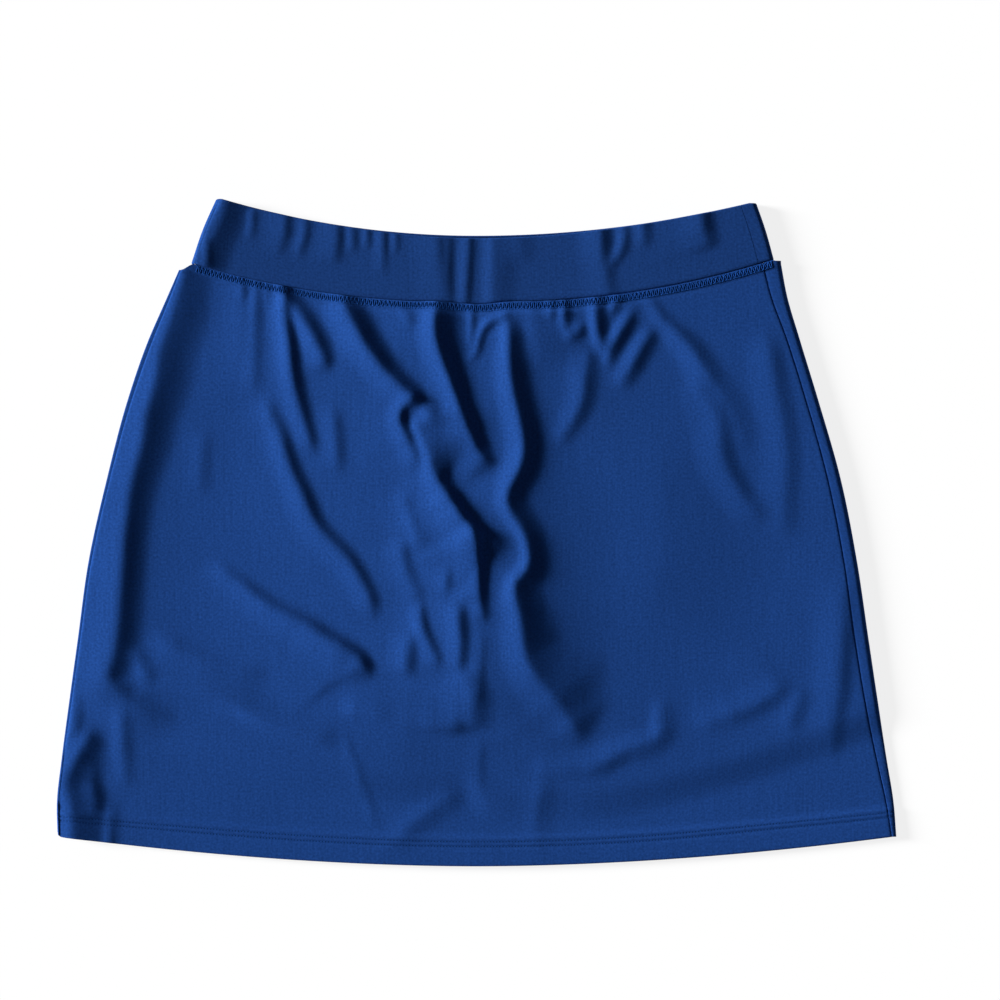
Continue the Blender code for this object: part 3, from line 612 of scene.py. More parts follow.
    Crease("low centre swell", (
        (-22, 40), (-10, 14), (-1, -6), (2, -40), (-1, -76), (-4, -106), (-9, -134)),
        height=(0, 2.2, 3.4, 3.6, 3.4, 2.6, 0), rise=56, fall=95, edge=0.3, tail=0),
    Crease("low centre, first", ((-50, 30), (-47.5, 18), (-44, 8), (-40, -2), (-35, -14)),
           height=(0, 0.9, 1.1, 0.9, 0), rise=7, fall=8),
    Crease("low centre, second", ((-54, -2), (-50, -16), (-47, -27), (-42, -38), (-39, -52)),
           height=(0, 1.5, 1.7, 1.2, 0), rise=14, fall=8),
    Crease("low centre, third", ((-20, -22), (-20.5, -34), (-20.5, -45)),
           height=(0, 1.2, 0), rise=8, fall=5),
    Crease("low centre, ledge", ((3, -43), (-8, -43.5), (-20, -41)),
           height=(0, 1.2, 0), rise=5, fall=5),
    Crease("low centre, fourth", (
        (-10, -44), (-12, -53), (-12, -62), (-11, -72), (-11.5, -84), (-13, -98)),
        height=(0, 2.4, 2.5, 2.1, 1.7, 0), rise=12, fall=8, edge=0.55),
    Crease("low centre, fifth", (
        (-38, -45), (-38, -56), (-36.5, -64), (-33.5, -72), (-29, -81), (-23, -92)),
        height=(0, 1.8, 2.3, 2.1, 1.5, 0), rise=9, fall=6),
    Crease("low centre, sixth", ((-43, -65), (-46, -76), (-47.5, -86), (-47, -100)),
           height=(0, 1.8, 2, 0), rise=14, fall=9),
    Crease("low upright", ((2, -62), (3.5, -74), (2.5, -90), (1.5, -104), (1, -122)),
           height=(0, 0.5, 0.6, 0.6, 0), rise=10, fall=5, tail=0),
    Crease("low upright, lower", ((3, -134), (2, -150), (2, -166), (3, -184)),
           height=(0, 0.45, 0.4, 0), rise=10, fall=5),
    Crease("bulge", ((-12, -90), (-6, -102), (-3, -113), (-3, -124), (-6, -133)),
           height=(0, 1.6, 2, 1.8, 0), rise=26, fall=16, tail=0),
    Crease("under the bulge", (
        (-3, -131), (-14, -131.5), (-26, -131), (-38, -129.5), (-52, -127.5), (-66, -124.5),
        (-80, -121.5), (-94, -120)),
        height=(0.8, 2.6, 2.2, 1.5, 1.2, 1.6, 1.4, 0), rise=(12, 14, 12, 16), fall=(5, 5, 4, 5),
        edge=0.6),
    Crease("low line", ((-91, -127), (-87, -141), (-82, -155), (-78, -168), (-73, -182), (-65, -204)),
           height=(0, 0.5, 0.55, 0.44, 0), rise=8, fall=4.5),
    Crease("near the hem, left", ((-6, -175), (-22, -182), (-34, -189.5), (-45, -198), (-57, -210)),
           height=(0, 1.12, 1.26, 1.12, 0.56), rise=12, fall=13),
    Crease("near the hem, right", ((48, -162), (43, -176), (40, -190), (40, -206)),
           height=(0, 0.84, 0.72, 0.36), rise=10, fall=14),
    Crease("right leg's hem", (
        (126, -108), (124.5, -118), (123.5, -126), (123.5, -134), (119, -140), (110, -143.5),
        (101, -146.5), (92, -151), (81, -157), (66, -158.5), (50, -159.5), (34, -160)),
        height=(0, 0.9, 1.5, 1.7, 1.7, 1.5, 1.1, 0.8, 0), rise=(7, 8, 12, 15, 15, 15),
        fall=(12, 14, 12, 10, 10, 10, 10), edge=0.3, tail=0),
    Crease("right leg's outer hem", (
        (213, -99), (202, -108), (190, -115), (176, -121), (160, -126), (145, -130)),
        height=(0, 1.4, 1.8, 1.6, 1, 0), rise=16, fall=11),
    Crease("faint, low right", ((224, -103), (218, -112), (213, -124), (209, -138)),
           height=(0, 1, 1, 0), rise=12, fall=11),
)

BAND_CREASES = (
    Crease("rounded left end", (
        (-168, 230), (-170, 220), (-173, 211), (-176, 204), (-179, 197), (-181.5, 190), (-184, 180),
        (-186, 170)),
        height=(3, 3, 2.8, 2.6), rise=34, fall=(18, 18, 17), tail=0),
    Crease("notch", ((-182.5, 197), (-182, 181)),
           height=(0.9, 0.7), rise=3, fall=4.5, tail=0),
    Crease("tick", ((-151, 215), (-151.5, 206), (-153, 195)),
           height=(1, 0.8, 0), rise=5, fall=4, tail=0),
    Crease("first", ((-129, 214), (-129.5, 203), (-132, 194), (-134, 184)),
           height=(1.1, 1.2, 0.7, 0), rise=15, fall=6, tail=0),
    Crease("second", ((-115.5, 210), (-116, 201), (-119, 191), (-121, 183)),
           height=(0.9, 1, 0.8, 0), rise=6, fall=5, tail=0),
    Crease("third", ((-94.5, 209), (-94, 200), (-95, 190), (-96, 178)),
           height=(1.1, 1.3, 1, 0), rise=17, fall=6.5, tail=0),
    Crease("fourth", ((-84.5, 207), (-84, 198), (-84, 186)),
           height=(0.9, 1, 0), rise=5, fall=6, tail=0),
    Crease("fifth", ((-74, 206), (-73.8, 197), (-74, 189)),
           height=(1, 1, 0), rise=4, fall=3.5, tail=0),
    Crease("sixth", ((-63, 204), (-63, 192), (-63, 184), (-64, 171)),
           height=(1.1, 1, 0.6, 0), rise=7.5, fall=4, tail=0),
    Crease("seventh", ((-54.5, 203), (-54.5, 194), (-54.5, 185)),
           height=(0.9, 0.8, 0), rise=4, fall=3.5, tail=0),
    Crease("left of centre, broad", ((-26, 204), (-26, 190), (-24.5, 175), (-23, 156)),
           height=(1.44, 1.6, 1.44, 1.12), rise=20, fall=11, edge=0.35),
    Crease("left of centre, narrow", ((-18.5, 204), (-18.5, 193), (-19, 183), (-19.5, 170), (-18, 156)),
           height=(0.5, 0.55, 0.5, 0.44, 0.28), rise=4, fall=4.5, tail=0),
    Crease("centre, narrow", ((-5, 204), (-5.4, 190), (-6.3, 175), (-7.4, 156)),
           height=(1.02, 1.27, 1.27, 1.1), rise=9, fall=5, edge=0.6, tail=0),
    Crease("right of centre", ((11.3, 204), (11.4, 185), (11, 170), (10.4, 156)),
           height=(1.1, 1.2, 1.2, 1.1), rise=8, fall=18, edge=0.1, tail=0),
    Crease("soft, right", ((28, 204), (29, 190), (30, 177)),
           height=(0.8, 0.7, 0), rise=14, fall=13, edge=0.3, tail=0),
    Crease("forked, right", ((83.5, 207), (84, 196), (84.5, 186), (86.5, 178), (88, 168), (90, 156)),
           height=(1.8, 1.9, 1.6, 1.2, 0.9, 0.5), rise=18, fall=9, tail=0),
    Crease("fork's arm", ((99, 206), (99, 197), (97, 190), (93, 183), (89, 177)),
           height=(0.8, 1.2, 1.2, 0.9, 0), rise=6, fall=6, tail=0),
    Crease("past the fork", ((112, 209), (112.5, 198), (113, 189)),
           height=(1.4, 1.1, 0), rise=7, fall=8),
    Crease("right end", ((151.5, 215), (152.5, 206), (155, 198), (158, 189)),
           height=(2.2, 2.2, 1.5, 0), rise=20, fall=10, edge=0.4),
)


@dataclass
class Face:
    """The heights of the cloth that shows on the skirt: what it lies on, its wall, folds and sewing."""

    outline: Outline
    folds: Relief
    wall: float = 1.2 * MM
    hem_wall: float = 1.8 * MM
    hem_depth: float = 18.5 * MM
    hem_step: float = 3 * MM
    ply_gap: float = 0.3 * MM
    shorts_plies: int = 2
    shorts_side_inset: float = 22 * MM
    shorts_hem_middle: float = -150 * MM
    shorts_hem_step: float = 6 * MM
    legs_apart: float = 9 * MM
    shorts_hem_rise: float = 42 * MM
    shorts_hem_rise_from: float = 70 * MM
    shorts_hem_rise_over: float = 160 * MM
    shorts_hem_curve: float = 1.4
    drape_margin: float = 16 * MM
    drape_slope: float = 26 * MM
    left_round: float = 0.9 * MM
    left_round_share: float = 0.8
    right_round: float = 3 * MM
    free_edge: float = 0.9 * MM
    held_share: float = 0.7
    held_from: float = 4.6 * MM
    held_over: float = 5 * MM
    cover_width: float = 5.4 * MM
    cover_rise: float = 0.3 * MM
    cover_step: float = 0.9 * MM
    groove_depth: float = 0.42 * MM
    groove_width: float = 0.9 * MM
    row_spacing: float = 3.2 * MM
    nominal_rise: float = 16.5 * MM
    steepest_wall: float = 1.5
    probe: float = 1 * MM

    def shorts_hem(self, x: np.ndarray) -> np.ndarray:
        """The legs' lower edges, which climb outward."""
        outward = np.clip((np.abs(x) - self.shorts_hem_rise_from) / self.shorts_hem_rise_over, 0, None)
        level = self.shorts_hem_middle - self.shorts_hem_step * np.tanh(x / self.legs_apart)
        return level + self.shorts_hem_rise * outward ** self.shorts_hem_curve

    def over_shorts(self, x: np.ndarray, y: np.ndarray) -> np.ndarray:
        """1 where the skirt lies on the shorts, falling to 0 a little way outside them."""
        left = x - self.outline.skirt_left(y)
        left = mix(ease(left / self.shorts_side_inset), ease(left / self.left_round), self.left_round_share)
        right = ease((self.outline.skirt_right(y) - x) / self.right_round)
        below = 1 + (y - self.shorts_hem(x) + self.drape_margin) / self.drape_slope
        return left * right * ease(below)

    def hem_share(self, x: np.ndarray, y: np.ndarray) -> np.ndarray:
        """1 in the turned-up hem and 0 above it."""
        return ease(1 - (y - self.outline.hem(x) - self.hem_depth) / self.hem_step)

    def thickness(self, x: np.ndarray, y: np.ndarray) -> np.ndarray:
        """The cloth's wall, doubled up in the hem."""
        return mix(self.wall, self.hem_wall, self.hem_share(x, y))

    def inner(self, x: np.ndarray, y: np.ndarray) -> np.ndarray:
        """The height of the front's inner face, folds and all."""
        on_back = self.wall + self.ply_gap
        on_shorts = on_back + self.shorts_plies * (self.wall + self.ply_gap)
        level = mix(on_back, on_shorts, self.over_shorts(x, y))
        return level + (self.hem_wall - self.wall) * self.hem_share(x, y) + self.lift(x, y)

    def lift(self, x: np.ndarray, y: np.ndarray) -> np.ndarray:
        """How far the folds lift the cloth, held down at the seams and edges."""
        below = self.outline.waist_seam(x) - y
        held = mix(self.held_share, 1, ease((below - self.held_from) / self.held_over))
        edge = np.minimum(x - self.outline.skirt_left(y), self.outline.skirt_right(y) - x)
        return self.folds.lift(x, y) * held * ease(edge / self.free_edge)

    def hem_scale(self, x: np.ndarray) -> np.ndarray:
        """How far the hem's distances are stretched at each x."""
        return self.outline.stitch_rise(x) / self.nominal_rise

    def sewn(self, x: np.ndarray, y: np.ndarray) -> np.ndarray:
        """The relief of the sewing: the cover stitch's raised band and the hem rows' grooves."""
        below = self.outline.waist_seam(x) - y
        band = ease((self.cover_width + self.cover_step - below) / self.cover_step)
        above = y - self.outline.hem(x) - self.outline.stitch_rise(x)
        spacing = self.row_spacing * self.hem_scale(x)
        rows = sum(np.exp(-((above + down) / self.groove_width) ** 2) for down in (0, spacing))
        return self.cover_rise * band - self.groove_depth * rows

    def outer(self, x: np.ndarray, y: np.ndarray) -> np.ndarray:
        """The height of the cloth's outer face. A sloping wall is taller, measured upright."""
        slope_x = (self.inner(x + self.probe, y) - self.inner(x - self.probe, y)) / (2 * self.probe)
        slope_y = (self.inner(x, y + self.probe) - self.inner(x, y - self.probe)) / (2 * self.probe)
        tall = np.minimum(np.sqrt(1 + slope_x ** 2 + slope_y ** 2), self.steepest_wall)
        return self.inner(x, y) + self.thickness(x, y) * tall + self.sewn(x, y)


@dataclass(frozen=True)
class RowPlan:
    """Rows up a panel: close together beside the sewing at either end, evenly spaced between.

    hem holds distances up from the hem's edge, and waist distances down from the waist seam, in
    millimetres, both in rising order of height.
    """

    hem: Sequence[float] = (0, 0.7, 1.8, 4, 6.5, 9, 11, 12.3, 13.3, 14.1, 14.9, 15.7, 16.5, 17.5, 19, 21)
    waist: Sequence[float] = (12, 10, 8.4, 7, 6, 5.2, 4.2, 3.2, 2.2, 1.3, 0.7, 0)
    between: int = 146

    def shares(self, length: np.ndarray, scale: np.ndarray) -> np.ndarray:
        """Each row's share of the panel's length.

        Args:
            length: the panel's length in each column, in metres.
            scale: how far the hem's distances are stretched in each column.

        Returns:
            Rows by columns of shares.
        """
        low = np.array(self.hem)[:, None] * MM * scale / length
        high = 1 - np.array(self.waist)[:, None] * MM / length
        steps = np.linspace(0, 1, self.between + 2)[1:-1, None]
        return np.concatenate([low, mix(low[-1:], high[:1], steps), high])


@dataclass(frozen=True)
class ColumnPlan:
    """Columns across a panel, close together at its edges and round one place on its way across.

    edge holds distances in from either edge, in millimetres. centre and spread are shares of the width,
    and crowd is how much closer the columns stand at the centre.
    """

    between: int
    edge: Sequence[float] = (0, 0.5, 1.3, 2.6)
    centre: float = 0.46
    spread: float = 0.22
    crowd: float = 0.45
    samples: int = 2001

    def places(self, width: np.ndarray) -> np.ndarray:
        """Each column's share of each row's width, which is in metres."""
        fine = np.linspace(0, 1, self.samples)
        density = 1 + self.crowd * np.exp(-((fine - self.centre) / self.spread) ** 2)
        total = np.concatenate([[0], np.cumsum((density[1:] + density[:-1]) / 2)])
        steps = np.interp(np.linspace(0, total[-1], self.between + 2)[1:-1], total, fine)[None, :]
        near = np.array(self.edge)[None, :] * MM / width
        between = mix(near[:, -1:], 1 - near[:, -1:], steps)
        return np.concatenate([near, between, 1 - near[:, ::-1]], axis=1)


def new_object(name: str, data: bpy.types.ID) -> bpy.types.Object:
    """A new object in the scene, made of a mesh, a light or a camera."""
    made = bpy.data.objects.new(name, data)
    bpy.context.scene.collection.objects.link(made)
    return made


@dataclass
class Shell:
    """A closed shell of cloth between an outer and an inner grid of points.

    cloth_map holds each point's place on the flat cloth and row_map its place along and above the upper
    row of hem stitches, both in metres.
    """

    name: str
    outer: np.ndarray
    inner: np.ndarray
    cloth_map: np.ndarray
    row_map: np.ndarray | None = None
    sharp_angle: float = 75.0

    def rim(self) -> list[int]:
        """The points round the outer grid's edge, in order."""
        rows, cols = self.outer.shape[:2]
        rim = list(range(cols)) + [row * cols + cols - 1 for row in range(1, rows)]
        rim += [(rows - 1) * cols + col for col in range(cols - 2, -1, -1)]
        return rim + [row * cols for row in range(rows - 2, 0, -1)]

    def build(self) -> bpy.types.Object:
        """Makes the shell's object.

        Returns:
            The object, smooth except where it turns sharply.
        """
        rows, cols = self.outer.shape[:2]
        under = rows * cols
        points = np.concatenate([self.outer.reshape(-1, 3), self.inner.reshape(-1, 3)])
        index = np.arange(under).reshape(rows, cols)
        corner_points = [index[:-1, :-1], index[:-1, 1:], index[1:, 1:], index[1:, :-1]]
        quads = np.stack(corner_points, axis=-1).reshape(-1, 4)
        rim = np.array(self.rim())
        ahead = np.roll(rim, -1)
        edge = np.stack([rim, rim + under, ahead + under, ahead], axis=-1)
        faces = np.concatenate([quads, quads[:, ::-1] + under, edge])
        mesh = bpy.data.meshes.new(self.name)
        mesh.from_pydata(points.tolist(), [], faces.tolist())
        mesh.shade_smooth()
        mesh.set_sharp_from_angle(angle=math.radians(self.sharp_angle))
        self.add_map(mesh, "cloth", self.cloth_map, faces)
        if self.row_map is not None:
            self.add_map(mesh, "hem rows", self.row_map, faces)
        return new_object(self.name, mesh)

    @staticmethod
    def add_map(mesh: bpy.types.Mesh, name: str, places: np.ndarray, faces: np.ndarray) -> None:
        """Adds a UV map whose values are the same on both sides of the cloth."""
        both = np.concatenate([places.reshape(-1, 2)] * 2)
        layer = mesh.uv_layers.new(name=name)
        layer.data.foreach_set("uv", both[faces.reshape(-1)].reshape(-1).astype(np.float32))


class NodeBench:
    """Adds nodes to a tree and wires them in one call each."""

    def __init__(self, tree: bpy.types.NodeTree) -> None:
        """Takes the tree that the nodes go into."""
        self.tree = tree

    def add(self, kind: str, wires: dict[str | int, object] | None = None,
            **settings: object) -> bpy.types.Node:
        """Adds one node.

        Args:
            kind: the node's type.
            wires: for each input, by name or number, a value or a socket that feeds it.
            settings: the node's own properties.

        Returns:
            The node.
        """
        node = self.tree.nodes.new(kind)
        for name, value in settings.items():
            setattr(node, name, value)
        for key, value in (wires or {}).items():
            if isinstance(value, bpy.types.NodeSocket):
                self.tree.links.new(value, node.inputs[key])
            else:
                node.inputs[key].default_value = value
        return node

    def math(self, operation: str, *values: object) -> bpy.types.NodeSocket:
        """The output of a Math node with these inputs."""
        kind = "ShaderNodeMath"
        return self.add(kind, dict(enumerate(values)), operation=operation).outputs[0]

    def scaled(self, vector: object, scale: object) -> bpy.types.NodeSocket:
        """A vector or colour times one number."""
        return self.add("ShaderNodeVectorMath", {0: vector, "Scale": scale}, operation="SCALE").outputs[0]

    def bumped(self, height: bpy.types.NodeSocket, strength: float, depth: float) -> bpy.types.NodeSocket:
        """The normals of a face with this relief."""
        wires = {"Height": height, "Strength": strength, "Distance": depth}
        return self.add("ShaderNodeBump", wires).outputs["Normal"]


def new_group(
        name: str, kind: str, inputs: Sequence[tuple[str, str, object]], outputs: Sequence[tuple[str, str]],
) -> tuple[bpy.types.NodeTree, bpy.types.Node, bpy.types.Node]:
    """Starts a node group with named sockets.

    Args:
        name: the group's name.
        kind: its tree type.
        inputs: for each input its name, socket type and value, or None for no value.
        outputs: for each output its name and socket type.

    Returns:
        The tree, its input node and its output node.
    """
    tree = bpy.data.node_groups.new(name, kind)
    for label, socket_type, value in inputs:
        socket = tree.interface.new_socket(label, in_out="INPUT", socket_type=socket_type)
        if value is not None:
            socket.default_value = value
    for label, socket_type in outputs:
        tree.interface.new_socket(label, in_out="OUTPUT", socket_type=socket_type)
    return tree, tree.nodes.new("NodeGroupInput"), tree.nodes.new("NodeGroupOutput")


def new_material(
        name: str, values: dict[str, object],
) -> tuple[bpy.types.Material, NodeBench, bpy.types.Node]:
    """Starts a material of nodes.

    Args:
        name: the material's name.
        values: values for its shader's inputs, by name.

    Returns:
        The material, a bench for its tree and its shader.
    """
    made = bpy.data.materials.new(name)
    made.use_nodes = True
    shader = made.node_tree.nodes["Principled BSDF"]
    for label, value in values.items():
        shader.inputs[label].default_value = value
    return made, NodeBench(made.node_tree), shader


FLOAT = "NodeSocketFloat"
VECTOR = "NodeSocketVector"

# How far a loop's legs lean, how much a wale drops to its sides, and the loops' share of its height.
LOOP_LEAN = 1.6
WALE_ROUNDING = 3.2
LOOP_SWING = 0.22

# Where needle holes and their rows' shadow start and stop fading, as shares of their width.
ROW_FADE_START = 0.4
ROW_FADE_END = 1.5

# Each layer's name, its waves in a metre along each axis, and its detail.
TONE_LAYERS = (
    ("Clouds", (14, 14, 14), 2.0),
    ("Mottle", (620, 620, 620), 3.0),
    ("Streaks", (900, 30, 900), 1.0),
)


class ShaderGroups:
    """The effects that more than one finish uses, each built once."""

    def __init__(self) -> None:
        """Builds the three groups."""
        self.knit = self.knit_loops()
        self.tone = self.cloth_tone()
        self.needle = self.needle_rows()

    @staticmethod
    def knit_loops() -> bpy.types.NodeTree:
        """Columns of small V-shaped loops, as on the face of a fine knit."""
        tree, given, out = new_group(
            "knit loops", "ShaderNodeTree",
            [("Place", VECTOR, None), ("Wale Spacing", FLOAT, 0.6 * MM), ("Course Spacing", FLOAT, 0.5 * MM)],
            [("Height", FLOAT)])
        bench = NodeBench(tree)
        place = bench.add("ShaderNodeSeparateXYZ", {0: given.outputs["Place"]})
        wale = bench.math("DIVIDE", place.outputs["X"], given.outputs["Wale Spacing"])
        course = bench.math("DIVIDE", place.outputs["Y"], given.outputs["Course Spacing"])
        aside = bench.math("ABSOLUTE", bench.math("SUBTRACT", bench.math("FRACT", wale), 0.5))
        leaning = bench.math("ADD", course, bench.math("MULTIPLY", aside, LOOP_LEAN))
        loop = bench.math("SINE", bench.math("MULTIPLY", leaning, 2 * math.pi))
        rounding = bench.math("MULTIPLY", bench.math("MULTIPLY", aside, aside), WALE_ROUNDING)
        swing = bench.math("MULTIPLY_ADD", loop, LOOP_SWING, 1 - LOOP_SWING)
        height = bench.math("MULTIPLY", bench.math("SUBTRACT", 1.0, rounding), swing)
        tree.links.new(height, out.inputs["Height"])
        return tree

    @staticmethod
    def cloth_tone() -> bpy.types.NodeTree:
        """The slight unevenness of dyed cloth: broad clouds, fine mottle and wale streaks."""
        tree, given, out = new_group(
            "cloth tone", "ShaderNodeTree",
            [("Place", VECTOR, None), *((label, FLOAT, 0.1) for label, _, _ in TONE_LAYERS)],
            [("Tone", FLOAT)])
        bench = NodeBench(tree)
        total = 1.0
        for label, scale, detail in TONE_LAYERS:
            wires = {0: given.outputs["Place"], 1: scale}
            spread = bench.add("ShaderNodeVectorMath", wires, operation="MULTIPLY").outputs[0]
            noise = bench.add("ShaderNodeTexNoise", {"Vector": spread, "Scale": 1.0, "Detail": detail})
            swing = bench.math("SUBTRACT", noise.outputs[0], 0.5)
            total = bench.math("MULTIPLY_ADD", swing, given.outputs[label], total)
        tree.links.new(total, out.inputs["Tone"])
        return tree

    @staticmethod
    def needle_rows() -> bpy.types.NodeTree:
        """Masks for two rows of needle holes and for the painted shadow along the rows, on a map whose V is 0
        on the upper row. The finish darkens the cloth by both as painted shade and bumps the holes in by
        Holes.
        """
        tree, given, out = new_group(
            "needle rows", "ShaderNodeTree",
            [("Place", VECTOR, None), ("Pitch", FLOAT, 2.1 * MM), ("Row Spacing", FLOAT, 3.2 * MM),
             ("Hole Radius", FLOAT, 0.45 * MM), ("Shadow Width", FLOAT, 0.7 * MM)],
            [("Holes", FLOAT), ("Shadow", FLOAT)])
        bench = NodeBench(tree)
        place = bench.add("ShaderNodeSeparateXYZ", {0: given.outputs["Place"]})
        lower = bench.math("ABSOLUTE", bench.math("ADD", place.outputs["Y"], given.outputs["Row Spacing"]))
        across = bench.math("MINIMUM", bench.math("ABSOLUTE", place.outputs["Y"]), lower)
        step = bench.math("FRACT", bench.math("DIVIDE", place.outputs["X"], given.outputs["Pitch"]))
        along = bench.math("MULTIPLY", bench.math("SUBTRACT", step, 0.5), given.outputs["Pitch"])
        squares = bench.math("POWER", across, 2.0), bench.math("POWER", along, 2.0)
        gap = bench.math("SQRT", bench.math("ADD", *squares))
        for label, width, spread in (("Holes", "Hole Radius", gap), ("Shadow", "Shadow Width", across)):
            wires = {"Value": bench.math("DIVIDE", spread, given.outputs[width]), "From Min": ROW_FADE_START,
                     "From Max": ROW_FADE_END, "To Min": 1.0, "To Max": 0.0}
            fade = bench.add("ShaderNodeMapRange", wires, interpolation_type="SMOOTHSTEP")
            tree.links.new(fade.outputs["Result"], out.inputs[label])
        return tree


@dataclass(frozen=True)
class ClothFinish:
    """A knit cloth: its colours, sheen and loops, and, when stitched, painted shade in its hem rows' grooves
    and needle holes.
    """

    name: str
    color: tuple[float, float, float]
    # shade is the dark colour that the hem rows' grooves and needle holes are mixed towards: painted shade.
    shade: tuple[float, float, float] = (0.002, 0.010, 0.045)
    roughness: float = 0.95
    specular: float = 0.02
    sheen: float = 0.045
    sheen_tint: tuple[float, float, float] = (0.10, 0.30, 1.0)
    sheen_roughness: float = 0.45
    clouds: float = 0.16
    mottle: float = 1.1
    streaks: float = 0.3
    wale_spacing: float = 0.62 * MM
    course_spacing: float = 0.5 * MM
    bump: float = 0.5
    bump_depth: float = 0.08 * MM
    # groove_shade and hole_shade are how far the grooves and the needle holes are mixed towards shade, as
    # painted shade; hole_depth bumps the holes in.
    groove_shade: float = 0.18
    hole_shade: float = 0.75
    hole_depth: float = 2.0
    stitched_and_shaded: bool = False

    def material(self, groups: ShaderGroups) -> bpy.types.Material:
        """Builds the finish's material from the shared groups."""
        made, bench, shader = new_material(self.name, {
            "Roughness": self.roughness, "Specular IOR Level": self.specular, "Sheen Weight": self.sheen,
            "Sheen Tint": (*self.sheen_tint, 1.0), "Sheen Roughness": self.sheen_roughness})
        place = bench.add("ShaderNodeUVMap", uv_map="cloth").outputs["UV"]
        tone = bench.add("ShaderNodeGroup", node_tree=groups.tone)
        knit = bench.add("ShaderNodeGroup", node_tree=groups.knit)
        for node in (tone, knit):
            made.node_tree.links.new(place, node.inputs["Place"])
        for label, value in (("Clouds", self.clouds), ("Mottle", self.mottle), ("Streaks", self.streaks)):
            tone.inputs[label].default_value = value
        knit.inputs["Wale Spacing"].default_value = self.wale_spacing
        knit.inputs["Course Spacing"].default_value = self.course_spacing
        tone_and_painted_shade = bench.scaled(self.color, tone.outputs["Tone"])
        height = knit.outputs["Height"]
        # Painted shade: on stitched cloth the hem rows' grooves and needle holes are darkened towards shade,
        # and the holes are also bumped in.
        if self.stitched_and_shaded:
            rows = bench.add("ShaderNodeUVMap", uv_map="hem rows").outputs["UV"]
            needle = bench.add("ShaderNodeGroup", {"Place": rows}, node_tree=groups.needle)
            for label, share in (("Shadow", self.groove_shade), ("Holes", self.hole_shade)):
                amount = bench.math("MULTIPLY", needle.outputs[label], share)
                wires = {0: amount, 6: tone_and_painted_shade, 7: (*self.shade, 1.0)}
                tone_and_painted_shade = bench.add("ShaderNodeMix", wires, data_type="RGBA").outputs[2]
            hole = bench.math("MULTIPLY", needle.outputs["Holes"], self.hole_depth)
            height = bench.math("SUBTRACT", height, hole)
        made.node_tree.links.new(tone_and_painted_shade, shader.inputs["Base Color"])
        made.node_tree.links.new(bench.bumped(height, self.bump, self.bump_depth), shader.inputs["Normal"])
        return made


@dataclass(frozen=True)
class ThreadFinish:
    """Sewing thread, a little lighter than the cloth."""

    name: str
    color: tuple[float, float, float]
    roughness: float = 0.95
    specular: float = 0.03
    clouds: float = 0.5
    mottle: float = 0.9
    ply_angle: float = 35.0
    ply_scale: float = 900.0
    ply_distortion: float = 1.0
    bump: float = 0.4
    bump_depth: float = 0.05 * MM

    def material(self, groups: ShaderGroups) -> bpy.types.Material:
        """Builds the thread's material, with an uneven tone and a twisted ply."""
        made, bench, shader = new_material(self.name, {
            "Roughness": self.roughness, "Specular IOR Level": self.specular})
        place = bench.add("ShaderNodeTexCoord").outputs["Object"]
        wires = {"Place": place, "Clouds": self.clouds, "Mottle": self.mottle, "Streaks": 0.0}
        tone = bench.add("ShaderNodeGroup", wires, node_tree=groups.tone)
        turn = (0.0, 0.0, math.radians(self.ply_angle))
        turned = bench.add("ShaderNodeMapping", {"Vector": place, "Rotation": turn})
        wires = {"Vector": turned.outputs[0], "Scale": self.ply_scale, "Distortion": self.ply_distortion}
        ply = bench.add("ShaderNodeTexWave", wires)
        normal = bench.bumped(ply.outputs[1], self.bump, self.bump_depth)
        made.node_tree.links.new(bench.scaled(self.color, tone.outputs["Tone"]), shader.inputs["Base Color"])
        made.node_tree.links.new(normal, shader.inputs["Normal"])
        return made


@dataclass(frozen=True)
class FloorFinish:
    """A plain pale floor that glows a little, so that the shadows on it stay pale."""

    name: str = "floor"
    color: tuple[float, float, float] = (0.16, 0.16, 0.16)
    glow: float = 0.84
    roughness: float = 0.9
    specular: float = 0.1
    patches: float = 3.0
    unevenness: float = 0.01

    def material(self) -> bpy.types.Material:
        """Builds the floor's material, with a faint unevenness."""
        made, bench, shader = new_material(self.name, {
            "Roughness": self.roughness, "Specular IOR Level": self.specular,
            "Emission Color": (1.0, 1.0, 1.0, 1.0), "Emission Strength": self.glow})
        place = bench.add("ShaderNodeTexCoord").outputs["Object"]
        noise = bench.add("ShaderNodeTexNoise", {"Vector": place, "Scale": self.patches, "Detail": 2.0})
        shade = bench.math("MULTIPLY_ADD", noise.outputs[0], self.unevenness, 1 - self.unevenness / 2)
        made.node_tree.links.new(bench.scaled(self.color, shade), shader.inputs["Base Color"])
        return made


